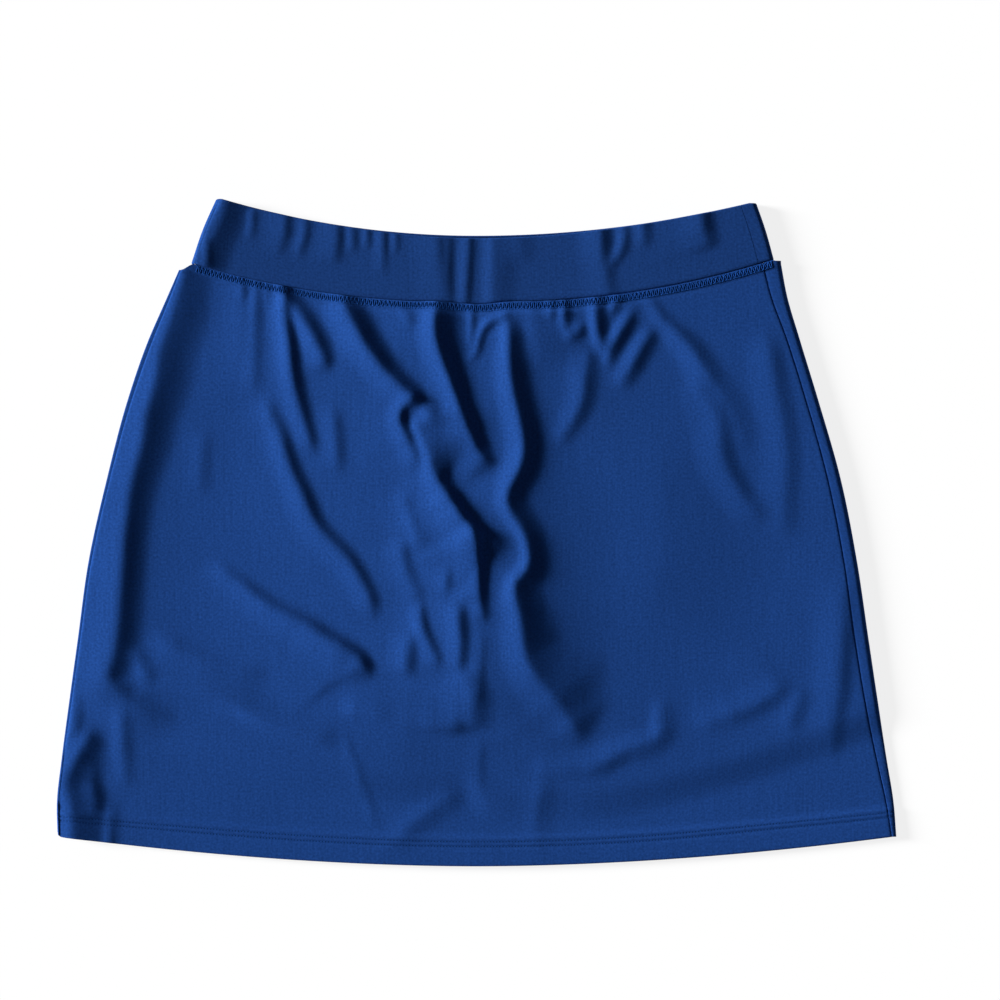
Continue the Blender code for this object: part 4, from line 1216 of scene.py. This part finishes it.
@dataclass
class Panel:
    """What every cut piece shares: the garment's outline and face, and how a piece is finished."""

    outline: Outline
    face: Face

    def finish(self, piece: bpy.types.Object, material: bpy.types.Material, slot: Slot, node: str,
               x: np.ndarray, y: np.ndarray, sewing: Sequence[bpy.types.Object] = ()) -> bpy.types.Object:
        """Args:
            piece: the piece's object.
            material: its finish.
            slot: the record's slot that the finish stands for; not used.
            node: the solid that the piece replaces.
            x: the flat piece's grid of points across it; not used.
            y: the flat piece's grid of points up it; not used.
            sewing: the stitches on it; not used.

        Returns:
            The piece.
        """
        piece.data.materials.append(material)
        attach(piece, ROOT)
        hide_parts(node)
        return piece

    def row_map(self, x: np.ndarray, y: np.ndarray) -> np.ndarray:
        """Places along and above the upper row of hem stitches, scaled so that both rows are even."""
        above = (y - self.outline.hem(x) - self.outline.stitch_rise(x)) / self.face.hem_scale(x)
        return np.stack([x, above], axis=-1)

    def row_shares(self, rows: RowPlan, across: np.ndarray) -> np.ndarray:
        """Each row's share of the skirt's length, spaced as at these shares of its width."""
        x, low_y = self.outline.skirt_point(across, np.zeros((1, 1)))
        _, high_y = self.outline.skirt_point(across, np.ones((1, 1)))
        return rows.shares(high_y - low_y, self.face.hem_scale(x))

    @staticmethod
    def path_map(path: np.ndarray) -> np.ndarray:
        """Places on the flat cloth of rows of points that bend round a fold."""
        steps = np.diff(path, axis=1)
        run = np.cumsum(np.hypot(steps[..., 0], steps[..., 2]), axis=1)
        run = np.concatenate([np.zeros((len(path), 1)), run], axis=1)
        return np.stack([path[:, :1, 0] + run, path[..., 1]], axis=-1)

    @staticmethod
    def across_path(path: np.ndarray, hand: int) -> np.ndarray:
        """Unit normals of rows of points that run across a piece, turned with its bends."""
        way = np.gradient(path, axis=1)
        normal = hand * np.stack([-way[..., 2], np.zeros(way.shape[:2]), way[..., 0]], axis=-1)
        return normal / np.linalg.norm(normal, axis=-1, keepdims=True)

    def fold_normals(self, path: np.ndarray, under: int, over: int) -> np.ndarray:
        """Outward normals of rows whose first points lie on the floor and whose last ones lie on top."""
        normal = self.across_path(path, -1)
        normal[:, :under] = (0, 0, -1)
        normal[:, -over:] = (0, 0, 1)
        return normal

    @staticmethod
    def widened(x: np.ndarray, y: np.ndarray, by: np.ndarray | float) -> tuple[np.ndarray, np.ndarray]:
        """A flat grid with one more column on its right, for the cloth that lies round the fold."""
        return np.concatenate([x, x[:, -1:] + by], axis=1), np.concatenate([y, y[:, -1:]], axis=1)

    @staticmethod
    def right_turn(flat: np.ndarray, face: np.ndarray, radius: np.ndarray, bends: int) -> np.ndarray:
        """Rows of points round the right fold, from a flat ply's last column up to the face's first."""
        bend = np.linspace(-math.pi / 2, math.pi / 2, bends + 2)[None, 1:-1]
        low, high = flat[:, -1:, 2], face[:, :1, 2]
        return lifted(flat[:, -1:, 0] + radius * np.cos(bend), flat[:, -1:, 1],
                      (low + high) / 2 + (high - low) / 2 * np.sin(bend))


@dataclass
class SkirtFront(Panel):
    """The front of the skirt, from the back's showing edge on the left to the seam on the right.

    Its face falls by edge_fall towards its edges, over a shorter way at the hem. Its rows are spaced at the
    columns that it would have if it were usual_width across, in metres.
    """

    columns: ColumnPlan = ColumnPlan(between=236, edge=(0, 0.25, 0.6, 1.1, 2.2))
    rows: RowPlan = RowPlan()
    usual_width: float = 0.52
    edge_fall: float = 0.35 * MM
    edge_reach: float = 1.3 * MM
    hem_tightness: float = 1.2
    node: str = "skirt_front"

    def grid(self) -> tuple[np.ndarray, np.ndarray]:
        """The piece's points, with rows that follow the sewing."""
        v = self.row_shares(self.rows, self.columns.places(np.full((1, 1), self.usual_width)))
        left, left_y = self.outline.skirt_point(np.zeros((1, 1)), v[:, :1])
        right, right_y = self.outline.skirt_point(np.ones((1, 1)), v[:, -1:])
        width = right - left
        start = self.outline.back_shows(left_y) / width
        end = 1 - (self.outline.seam_inset(right_y) + self.outline.seam_gap / 2) / width
        return self.outline.skirt_point(mix(start, end, self.columns.places(width * (end - start))), v)

    def build(self, finish: ClothFinish, groups: ShaderGroups,
              sewing: Sequence[bpy.types.Object]) -> bpy.types.Object:
        """Builds and dresses the front."""
        x, y = self.grid()
        near = np.minimum(x - x[:, :1], x[:, -1:] - x)
        near = np.minimum(near, (y - self.outline.hem(x)) * self.hem_tightness)
        rounding = self.edge_fall * (1 - np.clip(near / self.edge_reach, 0, 1)) ** 2
        shell = Shell("skirt_front_cloth", lifted(x, y, self.face.outer(x, y) - rounding),
                      lifted(x, y, self.face.inner(x, y)), np.stack([x, y], axis=-1), self.row_map(x, y))
        return self.finish(shell.build(), finish.material(groups), Slot.SKIRT, self.node, x, y, sewing)


@dataclass
class SkirtBack(Panel):
    """The back of the skirt: flat on the floor, round the right fold and in to the seam on the face.

    Its first columns lie at shares of its flat width and have shares of its wall. Its face columns lie at
    shares of the way from the seam to the fold, and edge_falls is how far the last two drop, in
    millimetres. rows_from is the share of the width at which its rows are spaced.
    """

    columns: int = 90
    rows: RowPlan = RowPlan(between=96)
    fold_round: float = 4 * MM
    fold_share: float = 0.75
    bends: int = 15
    first_columns: Sequence[float] = (0, 0.0006, 0.0016, 0.003)
    next_column: float = 0.008
    first_walls: Sequence[float] = (0.55, 0.85, 0.97)
    face_columns: Sequence[float] = (1.0, 0.75, 0.5, 0.28, 0.12, 0.0)
    edge_falls: Sequence[float] = (0.035, 0.1)
    rows_from: float = 0.99
    node: str = "skirt_back"

    def build(self, finish: ClothFinish, groups: ShaderGroups) -> bpy.types.Object:
        """Builds and dresses the back."""
        v = self.row_shares(self.rows, np.array([[self.rows_from]]))
        edge_x, edge_y = self.outline.skirt_point(np.ones((1, 1)), v)
        left_x, _ = self.outline.skirt_point(np.zeros((1, 1)), v)
        width = edge_x - left_x
        wall = self.face.thickness(edge_x, edge_y)
        inset = self.outline.seam_inset(edge_y)
        fold_round = np.minimum(self.fold_round, inset * self.fold_share)
        rest = np.linspace(self.next_column, 1, self.columns - len(self.first_columns))
        places = np.concatenate([self.first_columns, rest])[None, :]
        flat_x, flat_y = self.outline.skirt_point(places * (1 - fold_round / width), v)
        flat = lifted(flat_x, flat_y, wall / 2)
        seam = 1 - (inset - self.outline.seam_gap / 2) / width
        over = mix(seam, 1 - fold_round / width, np.array([self.face_columns]))
        x, y = self.outline.skirt_point(over, v)
        top = self.face.outer(x, y)
        top[:, -len(self.edge_falls):] -= np.array(self.edge_falls) * MM
        face = lifted(x, y, top - wall / 2)
        turn = self.right_turn(flat, face, fold_round - wall / 2, self.bends)
        path = np.concatenate([flat, turn, face], axis=1)
        share = np.ones(path.shape[1])
        share[:len(self.first_walls)] = self.first_walls
        normal = self.fold_normals(path, self.columns, len(self.face_columns))
        offset = normal * (wall / 2 * share)[..., None]
        outer = path + offset
        outer[:, :self.columns, 2] = 0.0
        row_map = self.row_map(path[..., 0], path[..., 1])
        shell = Shell("skirt_back_cloth", path - offset, outer, self.path_map(path), row_map)
        wrap_x, wrap_y = self.widened(flat_x, flat_y, inset + fold_round)
        return self.finish(shell.build(), finish.material(groups), Slot.SKIRT, self.node, wrap_x, wrap_y)


@dataclass
class Waistband(Panel):
    """What the two halves of the waistband share: their rows, folds and wall.

    low_rows are distances up from the seam and top_rows distances down from the top, in millimetres.
    thinnest is the least share of the wall at the top edge, and seam_fall what is lost at the seam.
    """

    band_folds: Relief | None = None
    wall: float = 2.2 * MM
    gap: float = 2.2 * MM
    seam_inset: float = 10.8 * MM
    free_edge: float = 4 * MM
    top_round: float = 0.9 * MM
    seam_round: float = 1.1 * MM
    seam_fall: float = 0.5
    seam_reach: float = 0.13 * MM
    depth: float = 45 * MM
    rows: int = 26
    low_rows: Sequence[float] = (0.0, 0.35, 0.9)
    top_rows: Sequence[float] = (2.4, 1.6, 1.1, 0.7, 0.4, 0.15, 0.0)
    thinnest: float = 0.12

    def shares(self) -> tuple[np.ndarray, np.ndarray]:
        """Each row's place up the band, and the share of the wall it has there."""
        low = np.array(self.low_rows) * MM / self.depth
        top = np.array(self.top_rows) * MM / self.depth
        place = np.concatenate([low, np.linspace(low[-1], 1 - top[0], self.rows + 2)[1:-1], 1 - top])
        into = np.clip(1 - (1 - place) * self.depth / self.top_round, 0, 1)
        share = np.maximum(np.sqrt(1 - into ** 2), self.thinnest)
        seam = np.clip(1 - place * self.depth / self.seam_round, 0, 1)
        return place[:, None], (share * (1 - self.seam_fall * seam ** 2))[:, None]

    def height(self, x: np.ndarray, y: np.ndarray) -> np.ndarray:
        """The height of the middle of the band's upper ply."""
        edge = np.minimum(x - self.outline.band_left(y), self.outline.band_right(y) - x)
        lift = self.band_folds.lift(x, y) * ease(edge / self.free_edge)
        return self.wall + self.gap + self.wall / 2 + lift

    def grid(self, u: np.ndarray, v: np.ndarray, top: Curve) -> tuple[np.ndarray, np.ndarray]:
        """Points of the band, its lowest row drawn down to the skirt's top edge."""
        outline = self.outline
        x, y = outline.patch(outline.waist_seam, top, outline.band_left, outline.band_right, u, v)
        return x, y - self.seam_reach * (v == 0)

    def width(self, v: np.ndarray, top: Curve) -> np.ndarray:
        """How wide the band is at each row."""
        left, _ = self.grid(np.zeros((1, 1)), v, top)
        right, _ = self.grid(np.ones((1, 1)), v, top)
        return right - left


@dataclass
class WaistbandFront(Waistband):
    """The front of the waistband, turned down at its left end and sewn to the back near the right fold."""

    columns: ColumnPlan = ColumnPlan(between=210, centre=0.4, spread=0.5, crowd=0.2)
    left_roll: float = 3.1 * MM
    roll_clearance: float = 0.4 * MM
    roll_depth: float = 0.6
    bends: int = 9
    node: str = "waistband_front"

    def build(self, finish: ClothFinish, groups: ShaderGroups) -> bpy.types.Object:
        """Builds and dresses the band's front."""
        v, share = self.shares()
        top = self.outline.front_top
        width = self.width(v, top)
        start = self.left_roll / width
        end = 1 - (self.seam_inset + self.outline.seam_gap / 2) / width
        x, y = self.grid(mix(start, end, self.columns.places(width * (end - start))), v, top)
        flat = lifted(x, y, self.height(x, y))
        bend = np.linspace(math.pi, math.pi / 2, self.bends + 1)[None, :-1]
        radius = self.left_roll - self.wall / 2
        drop = flat[:, :1, 2] - self.wall / 2 - self.roll_clearance
        turn_x = flat[:, :1, 0] + radius * np.cos(bend)
        turn_z = flat[:, :1, 2] - drop * self.roll_depth * (1 - np.sin(bend))
        foot = lifted(turn_x[:, :1], y[:, :1], self.wall / 4)
        path = np.concatenate([foot, lifted(turn_x, y[:, :1], turn_z), flat], axis=1)
        normal = self.across_path(path, 1)
        normal[:, :2] = (-1, 0, 0)
        normal[:, -1:] = (0, 0, 1)
        offset = normal * (share * self.wall / 2)[..., None]
        shell = Shell("waistband_front_cloth", path + offset, path - offset, self.path_map(path))
        return self.finish(shell.build(), finish.material(groups), Slot.WAISTBAND, self.node,
                           path[..., 0], path[..., 1])


@dataclass
class WaistbandBack(Waistband):
    """The back of the waistband: flat on the floor, round the right fold and in to its seam."""

    columns: int = 90
    bends: int = 9
    face_columns: Sequence[float] = (1.0, 0.8, 0.6, 0.4, 0.2, 0.08, 0.0)
    curl: float = 1.3 * MM
    curl_reach: float = 2.6 * MM
    node: str = "waistband_back"

    def build(self, finish: ClothFinish, groups: ShaderGroups) -> bpy.types.Object:
        """Builds and dresses the band's back."""
        v, share = self.shares()
        top = self.outline.waist_top
        width = self.width(v, top)
        start = (self.wall + 2 * self.outline.seam_gap) / width
        radius = (self.wall + self.gap) / 2 + self.wall / 2
        places = mix(start, 1 - radius / width, np.linspace(0, 1, self.columns)[None, :])
        flat_x, flat_y = self.grid(places, v, top)
        curl = self.curl * ease(1 - (1 - v) * self.depth / self.curl_reach)
        flat = lifted(flat_x, flat_y, self.wall / 2 + curl)
        face_top = self.outline.front_top
        face_width = self.width(v, face_top)
        inset = mix(self.seam_inset - self.outline.seam_gap / 2, radius, np.array([self.face_columns]))
        x, y = self.grid(1 - inset / face_width, v, face_top)
        face = lifted(x, y, self.height(x, y))
        turn = self.right_turn(flat, face, radius - self.wall / 2, self.bends)
        path = np.concatenate([flat, turn, face], axis=1)
        normal = self.fold_normals(path, self.columns, len(self.face_columns))
        offset = normal * (share * self.wall / 2)[..., None]
        outer = path + offset
        outer[:, :self.columns, 2] = curl
        shell = Shell("waistband_back_cloth", path - offset, outer, self.path_map(path))
        wrap_x, wrap_y = self.widened(flat_x, flat_y, self.seam_inset)
        return self.finish(shell.build(), finish.material(groups), Slot.WAISTBAND, self.node, wrap_x, wrap_y)


@dataclass
class InnerShorts(Panel):
    """One of the four panels of the shorts that lie inside the skirt."""

    side: Side = Side.LEFT
    layer: int = 1
    node: str = "shorts_back_left"
    crotch: float = -75 * MM
    leg_parting: float = 9 * MM
    columns: int = 60
    rows: int = 80
    pucker: float = 0.1 * MM
    pucker_spacing: float = 21 * MM
    hem_dent: float = 0.12 * MM
    hem_dent_width: float = 2 * MM

    def inner_edge(self, y: np.ndarray) -> np.ndarray:
        """The panel's edge at the middle: the seam, and the leg's inside below the crotch."""
        parted = self.leg_parting * ease((self.crotch - y) / (self.crotch - self.face.shorts_hem_middle))
        return self.side.value * (self.outline.seam_gap / 2 + parted)

    def outer_edge(self, y: np.ndarray) -> np.ndarray:
        """The panel's side edge."""
        edge = self.outline.skirt_left if self.side is Side.LEFT else self.outline.skirt_right
        return edge(y) - self.side.value * self.face.shorts_side_inset

    def hem(self, x: np.ndarray) -> np.ndarray:
        """The leg's lower edge."""
        return self.face.shorts_hem(self.side.value * np.abs(x))

    def build(self, finish: ClothFinish, groups: ShaderGroups) -> bpy.types.Object:
        """Builds and dresses the panel, with a leg hem and a faint pucker along it."""
        left, right = self.inner_edge, self.outer_edge
        if self.side is Side.LEFT:
            left, right = right, left
        u = np.linspace(0, 1, self.columns)[None, :]
        v = np.linspace(0, 1, self.rows)[:, None]
        low_x = mix(self.outline.corner_x(self.hem, left), self.outline.corner_x(self.hem, right), u)
        top = self.outline.skirt_top
        high_x = mix(self.outline.corner_x(top, left), self.outline.corner_x(top, right), u)
        y = mix(self.hem(low_x), top(high_x), v)
        x = mix(left(y), right(y), u)
        base = self.layer * (self.face.wall + self.face.ply_gap)
        above = y - self.hem(x) - self.face.hem_depth
        ripple = 0.5 + 0.5 * np.sin(2 * np.pi * x / self.pucker_spacing)
        wave = self.pucker * ripple * ease(above / self.pucker_spacing)
        dent = self.hem_dent * np.exp(-(above / self.hem_dent_width) ** 2)
        outer = lifted(x, y, base + self.face.wall - wave - dent)
        shell = Shell(f"{self.node}_cloth", outer, lifted(x, y, base), np.stack([x, y], axis=-1))
        return self.finish(shell.build(), finish.material(groups), Slot.SHORTS, self.node, x, y)


@dataclass(frozen=True)
class Stitch:
    """One kind of stitch: its sizes, how far it stands proud of the cloth, and its angles in degrees."""

    pitch: float
    length: float
    radius: float
    arch: float
    sink: float
    unevenness: float
    proud: float
    turn: float = 0.0
    slant: float = 0.0
    seed: int = 1

    def inputs(self) -> dict[str, float]:
        """The values that the stitch tree takes, by name."""
        return {
            "Pitch": self.pitch, "Stitch Length": self.length, "Thread Radius": self.radius,
            "Arch": self.arch, "Sink": self.sink, "Turn": math.radians(self.turn),
            "Slant": math.radians(self.slant), "Unevenness": self.unevenness, "Seed": self.seed}


HEM_STITCH = Stitch(pitch=2.1 * MM, length=1.5 * MM, radius=0.16 * MM, arch=0.12 * MM, sink=0.2 * MM,
                    unevenness=0.12, proud=0.02 * MM)
NEEDLE_STITCH = Stitch(pitch=2.0 * MM, length=1.7 * MM, radius=0.2 * MM, arch=0.16 * MM, sink=0.12 * MM,
                       unevenness=0.08, proud=0.03 * MM)
LOOPER_STITCH = Stitch(pitch=1.4 * MM, length=4.2 * MM, radius=0.24 * MM, arch=0.1 * MM, sink=0.16 * MM,
                       unevenness=0.12, proud=0.16 * MM, turn=90, slant=11, seed=3)


class StitchTree:
    """A Geometry Nodes tree that lays short arched threads along lines."""

    ARCH_RUNS = 6
    THREAD_SIDES = 6
    SIZE_SEED_STEP = 7.0

    def __init__(self) -> None:
        """Builds the tree, its sockets set for hem stitches."""
        sizes = [(label, "NodeSocketInt" if label == "Seed" else FLOAT, value)
                 for label, value in HEM_STITCH.inputs().items()]
        self.tree, given, out = new_group(
            "stitches", "GeometryNodeTree",
            [("Line", "NodeSocketGeometry", None), *sizes, ("Thread", "NodeSocketMaterial", None)],
            [("Stitches", "NodeSocketGeometry")])
        self.bench = NodeBench(self.tree)
        self.wire = given.outputs
        line = self.bench.add("GeometryNodeMeshToCurve", {"Mesh": self.wire["Line"]})
        wires = {"Curve": line.outputs[0], "Length": self.wire["Pitch"]}
        spaced = self.bench.add("GeometryNodeResampleCurve", wires, mode="LENGTH")
        placed = self.bench.add("GeometryNodeInstanceOnPoints", {
            "Points": spaced.outputs[0], "Instance": self.thread(), "Rotation": self.rotation(),
            "Scale": self.scale()})
        real = self.bench.add("GeometryNodeRealizeInstances", {"Geometry": placed.outputs[0]})
        smooth = self.bench.add("GeometryNodeSetShadeSmooth", {"Geometry": real.outputs[0]})
        wires = {"Geometry": smooth.outputs[0], "Material": self.wire["Thread"]}
        dressed = self.bench.add("GeometryNodeSetMaterial", wires)
        self.tree.links.new(dressed.outputs[0], out.inputs["Stitches"])

    def thread(self) -> bpy.types.NodeSocket:
        """One arched thread along X, with both ends sunk."""
        bench, wire = self.bench, self.wire
        half = bench.math("MULTIPLY", wire["Stitch Length"], 0.5)
        sunk = bench.math("MULTIPLY", wire["Sink"], -1.0)
        start, end = (bench.add("ShaderNodeCombineXYZ", {0: reach, 2: sunk}).outputs[0]
                      for reach in (bench.math("MULTIPLY", half, -1.0), half))
        crown = bench.math("MULTIPLY_ADD", wire["Arch"], 2.0, wire["Sink"])
        middle = bench.add("ShaderNodeCombineXYZ", {2: crown}).outputs[0]
        wires = {"Resolution": self.ARCH_RUNS, "Start": start, "Middle": middle, "End": end}
        arch = bench.add("GeometryNodeCurveQuadraticBezier", wires)
        wires = {"Resolution": self.THREAD_SIDES, "Radius": wire["Thread Radius"]}
        section = bench.add("GeometryNodeCurvePrimitiveCircle", wires)
        wires = {"Curve": arch.outputs[0], "Profile Curve": section.outputs[0], "Fill Caps": True}
        return bench.add("GeometryNodeCurveToMesh", wires).outputs[0]

    def rotation(self) -> bpy.types.NodeSocket:
        """How each stitch lies: along its line, turned, slanted to and fro and a little unevenly."""
        bench, wire = self.bench, self.wire
        tangent = bench.add("GeometryNodeInputTangent").outputs[0]
        ahead = bench.add("FunctionNodeAlignRotationToVector", {"Vector": tangent}, axis="X")
        parity = bench.math("MODULO", bench.add("GeometryNodeInputIndex").outputs[0], 2.0)
        sway = bench.math("MULTIPLY", bench.math("MULTIPLY_ADD", parity, 2.0, -1.0), wire["Slant"])
        least = bench.math("MULTIPLY", wire["Unevenness"], -1.0)
        wires = {2: least, 3: wire["Unevenness"], "Seed": wire["Seed"]}
        jitter = bench.add("FunctionNodeRandomValue", wires, data_type="FLOAT")
        angle = bench.math("ADD", bench.math("ADD", wire["Turn"], sway), jitter.outputs[1])
        turn = bench.add("ShaderNodeCombineXYZ", {2: angle}).outputs[0]
        wires = {"Rotation": ahead.outputs[0], "Rotate By": turn}
        return bench.add("FunctionNodeRotateRotation", wires, rotation_space="LOCAL").outputs[0]

    def scale(self) -> bpy.types.NodeSocket:
        """How large each stitch is, a little unevenly."""
        bench, uneven = self.bench, self.wire["Unevenness"]
        seed = bench.math("ADD", self.wire["Seed"], self.SIZE_SEED_STEP)
        wires = {2: bench.math("SUBTRACT", 1.0, uneven), 3: bench.math("ADD", 1.0, uneven), "Seed": seed}
        return bench.add("FunctionNodeRandomValue", wires, data_type="FLOAT").outputs[1]

    def lay(self, name: str, lines: Sequence[np.ndarray], thread: bpy.types.Material,
            stitch: Stitch) -> bpy.types.Object:
        """Lays stitches along lines of points and makes them one plain mesh.

        Args:
            name: the made object's name.
            lines: each line's points, in metres.
            thread: the thread's material.
            stitch: the kind of stitch.

        Returns:
            The stitches.
        """
        points = np.concatenate(lines)
        starts = np.cumsum([0] + [len(line) for line in lines])
        edges = [(at, at + 1) for first, last in zip(starts, starts[1:]) for at in range(first, last - 1)]
        guide = bpy.data.meshes.new(f"{name} guide")
        guide.from_pydata(points.tolist(), edges, [])
        carrier = new_object(f"{name} guide", guide)
        modifier = carrier.modifiers.new("stitches", "NODES")
        modifier.node_group = self.tree
        sockets = {item.name: item.identifier for item in self.tree.interface.items_tree
                   if item.in_out == "INPUT"}
        modifier[sockets["Thread"]] = thread
        for label, value in stitch.inputs().items():
            modifier[sockets[label]] = value
        bpy.context.view_layer.update()
        graph = bpy.context.evaluated_depsgraph_get()
        mesh = bpy.data.meshes.new_from_object(carrier.evaluated_get(graph))
        mesh.name = name
        stitches = new_object(name, mesh)
        carrier.modifiers.remove(modifier)
        bpy.data.objects.remove(carrier)
        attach(stitches, ROOT)
        log.info("%s: %d faces", name, len(mesh.polygons))
        return stitches


@dataclass
class Sewing:
    """The stitches that show: two rows along the hem and a cover stitch under the waistband."""

    outline: Outline
    face: Face
    tree: StitchTree
    step: float = 1.2 * MM
    hem_left: float = -280.5 * MM
    hem_right: float = 279.5 * MM
    cover_left: float = -188.5 * MM
    cover_right: float = 199.5 * MM
    cover_near: float = 0.9 * MM
    cover_far: float = 5.0 * MM

    def on_face(self, x: np.ndarray, y: np.ndarray, proud: float) -> np.ndarray:
        """Points on the skirt's face, proud of it by a little."""
        return lifted(x, y, self.face.outer(x, y) + proud)

    def hem_stitches(self, thread: bpy.types.Material) -> bpy.types.Object:
        """Two rows of small stitches above the hem."""
        x = np.arange(self.hem_left, self.hem_right, self.step)
        rise = self.outline.stitch_rise(x)
        lines = [self.on_face(x, self.outline.hem(x) + rise - down * self.face.hem_scale(x), HEM_STITCH.proud)
                 for down in (0.0, self.face.row_spacing)]
        return self.tree.lay("hem_stitches", lines, thread, HEM_STITCH)

    def cover_stitches(self, thread: bpy.types.Material) -> list[bpy.types.Object]:
        """Two needle rows under the waistband, with the looper thread zigzagging between them."""
        x = np.arange(self.cover_left, self.cover_right, self.step)
        seam = self.outline.waist_seam(x) - self.outline.seam_gap
        rows = [self.on_face(x, seam - below, NEEDLE_STITCH.proud)
                for below in (self.cover_near, self.cover_far)]
        middle = self.on_face(x, seam - (self.cover_near + self.cover_far) / 2, LOOPER_STITCH.proud)
        return [self.tree.lay("waist_needle_rows", rows, thread, NEEDLE_STITCH),
                self.tree.lay("waist_looper", [middle], thread, LOOPER_STITCH)]


@dataclass
class Studio:
    """The floor, the lights and the camera straight above."""

    view_width: float = 674.6 * MM
    view_x: float = 15.85 * MM
    view_y: float = 21.76 * MM
    camera_height: float = 3.4
    camera_reach: float = 50.0
    cloth_height: float = 6 * MM
    sensor: float = 36.0
    sun_azimuth: float = 169.0
    sun_elevation: float = 15.0
    sun_strength: float = 10.7
    sun_angle: float = 15.0
    sun_distance: float = 4.0
    sky_strength: float = 0.10
    sky_color: tuple[float, float, float] = (0.93, 0.96, 1.0)
    floor_size: float = 8.0
    floor_drop: float = 0.2 * MM

    def build_floor(self) -> bpy.types.Object:
        """A plain floor just under the garment."""
        half = self.floor_size / 2
        rim = [(x * half, y * half, -self.floor_drop) for x, y in ((-1, -1), (1, -1), (1, 1), (-1, 1))]
        mesh = bpy.data.meshes.new("floor")
        mesh.from_pydata(rim, [], [(0, 1, 2, 3)])
        mesh.materials.append(FloorFinish().material())
        floor = new_object("floor", mesh)
        return floor

    def build_lights(self) -> None:
        """A broad window light from the left, and an even sky."""
        azimuth, elevation = math.radians(self.sun_azimuth), math.radians(self.sun_elevation)
        level = math.cos(elevation)
        toward = Vector((level * math.cos(azimuth), level * math.sin(azimuth), math.sin(elevation)))
        lamp = bpy.data.lights.new("window", "SUN")
        lamp.energy = self.sun_strength
        lamp.angle = math.radians(self.sun_angle)
        light = new_object("window", lamp)
        light.location = toward * self.sun_distance
        light.rotation_euler = toward.to_track_quat("Z", "Y").to_euler()
        world = bpy.data.worlds.new("studio")
        world.use_nodes = True
        sky = world.node_tree.nodes["Background"]
        sky.inputs["Color"].default_value = (*self.sky_color, 1.0)
        sky.inputs["Strength"].default_value = self.sky_strength
        bpy.context.scene.world = world

    def build_camera(self) -> None:
        """A long lens that looks straight down on the garment, framed as the photo is."""
        optics = bpy.data.cameras.new("camera")
        optics.sensor_width = self.sensor
        optics.lens = self.sensor * (self.camera_height - self.cloth_height) / self.view_width
        optics.clip_end = self.camera_reach
        camera = new_object("camera", optics)
        camera.location = (self.view_x, self.view_y, self.camera_height)
        bpy.context.scene.camera = camera


SKIRT_FINISH = ClothFinish("skirt cloth, navy knit", color=(0.0104, 0.0470, 0.1995), stitched_and_shaded=True)
BAND_FINISH = ClothFinish("waistband cloth, navy knit", color=(0.0090, 0.0390, 0.1615))
SHORTS_FINISH = ClothFinish("shorts cloth, navy knit", color=(0.0088, 0.0385, 0.1635),
                            wale_spacing=0.8 * MM, course_spacing=0.7 * MM)
THREAD_FINISH = ThreadFinish("sewing thread", color=(0.0095, 0.058, 0.250))


def main() -> None:
    """Builds the garment's pieces in order, then the studio."""
    logging.basicConfig(level=logging.INFO, format="%(name)s: %(message)s")
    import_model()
    for name in ("Cube", "Light", "Camera"):
        if name in bpy.data.objects:
            bpy.data.objects.remove(bpy.data.objects[name])

    groups = ShaderGroups()
    outline = Outline()
    face = Face(outline, Relief(SKIRT_CREASES))
    band_folds = Relief(BAND_CREASES, melt=1.0 * MM)
    sewing = Sewing(outline, face, StitchTree())
    thread = THREAD_FINISH.material(groups)
    stitches = [sewing.hem_stitches(thread), *sewing.cover_stitches(thread)]
    SkirtFront(outline, face).build(SKIRT_FINISH, groups, stitches)
    SkirtBack(outline, face).build(SKIRT_FINISH, groups)
    WaistbandFront(outline, face, band_folds).build(BAND_FINISH, groups)
    WaistbandBack(outline, face, band_folds).build(BAND_FINISH, groups)
    for layer, ply in ((1, "back"), (2, "front")):
        for side in Side:
            node = f"shorts_{ply}_{side.name.lower()}"
            InnerShorts(outline, face, side, layer, node).build(SHORTS_FINISH, groups)

    bpy.context.scene.view_settings.view_transform = "Standard"
    studio = Studio()
    studio.build_floor()
    studio.build_lights()
    studio.build_camera()


if __name__ == "__main__":
    main()
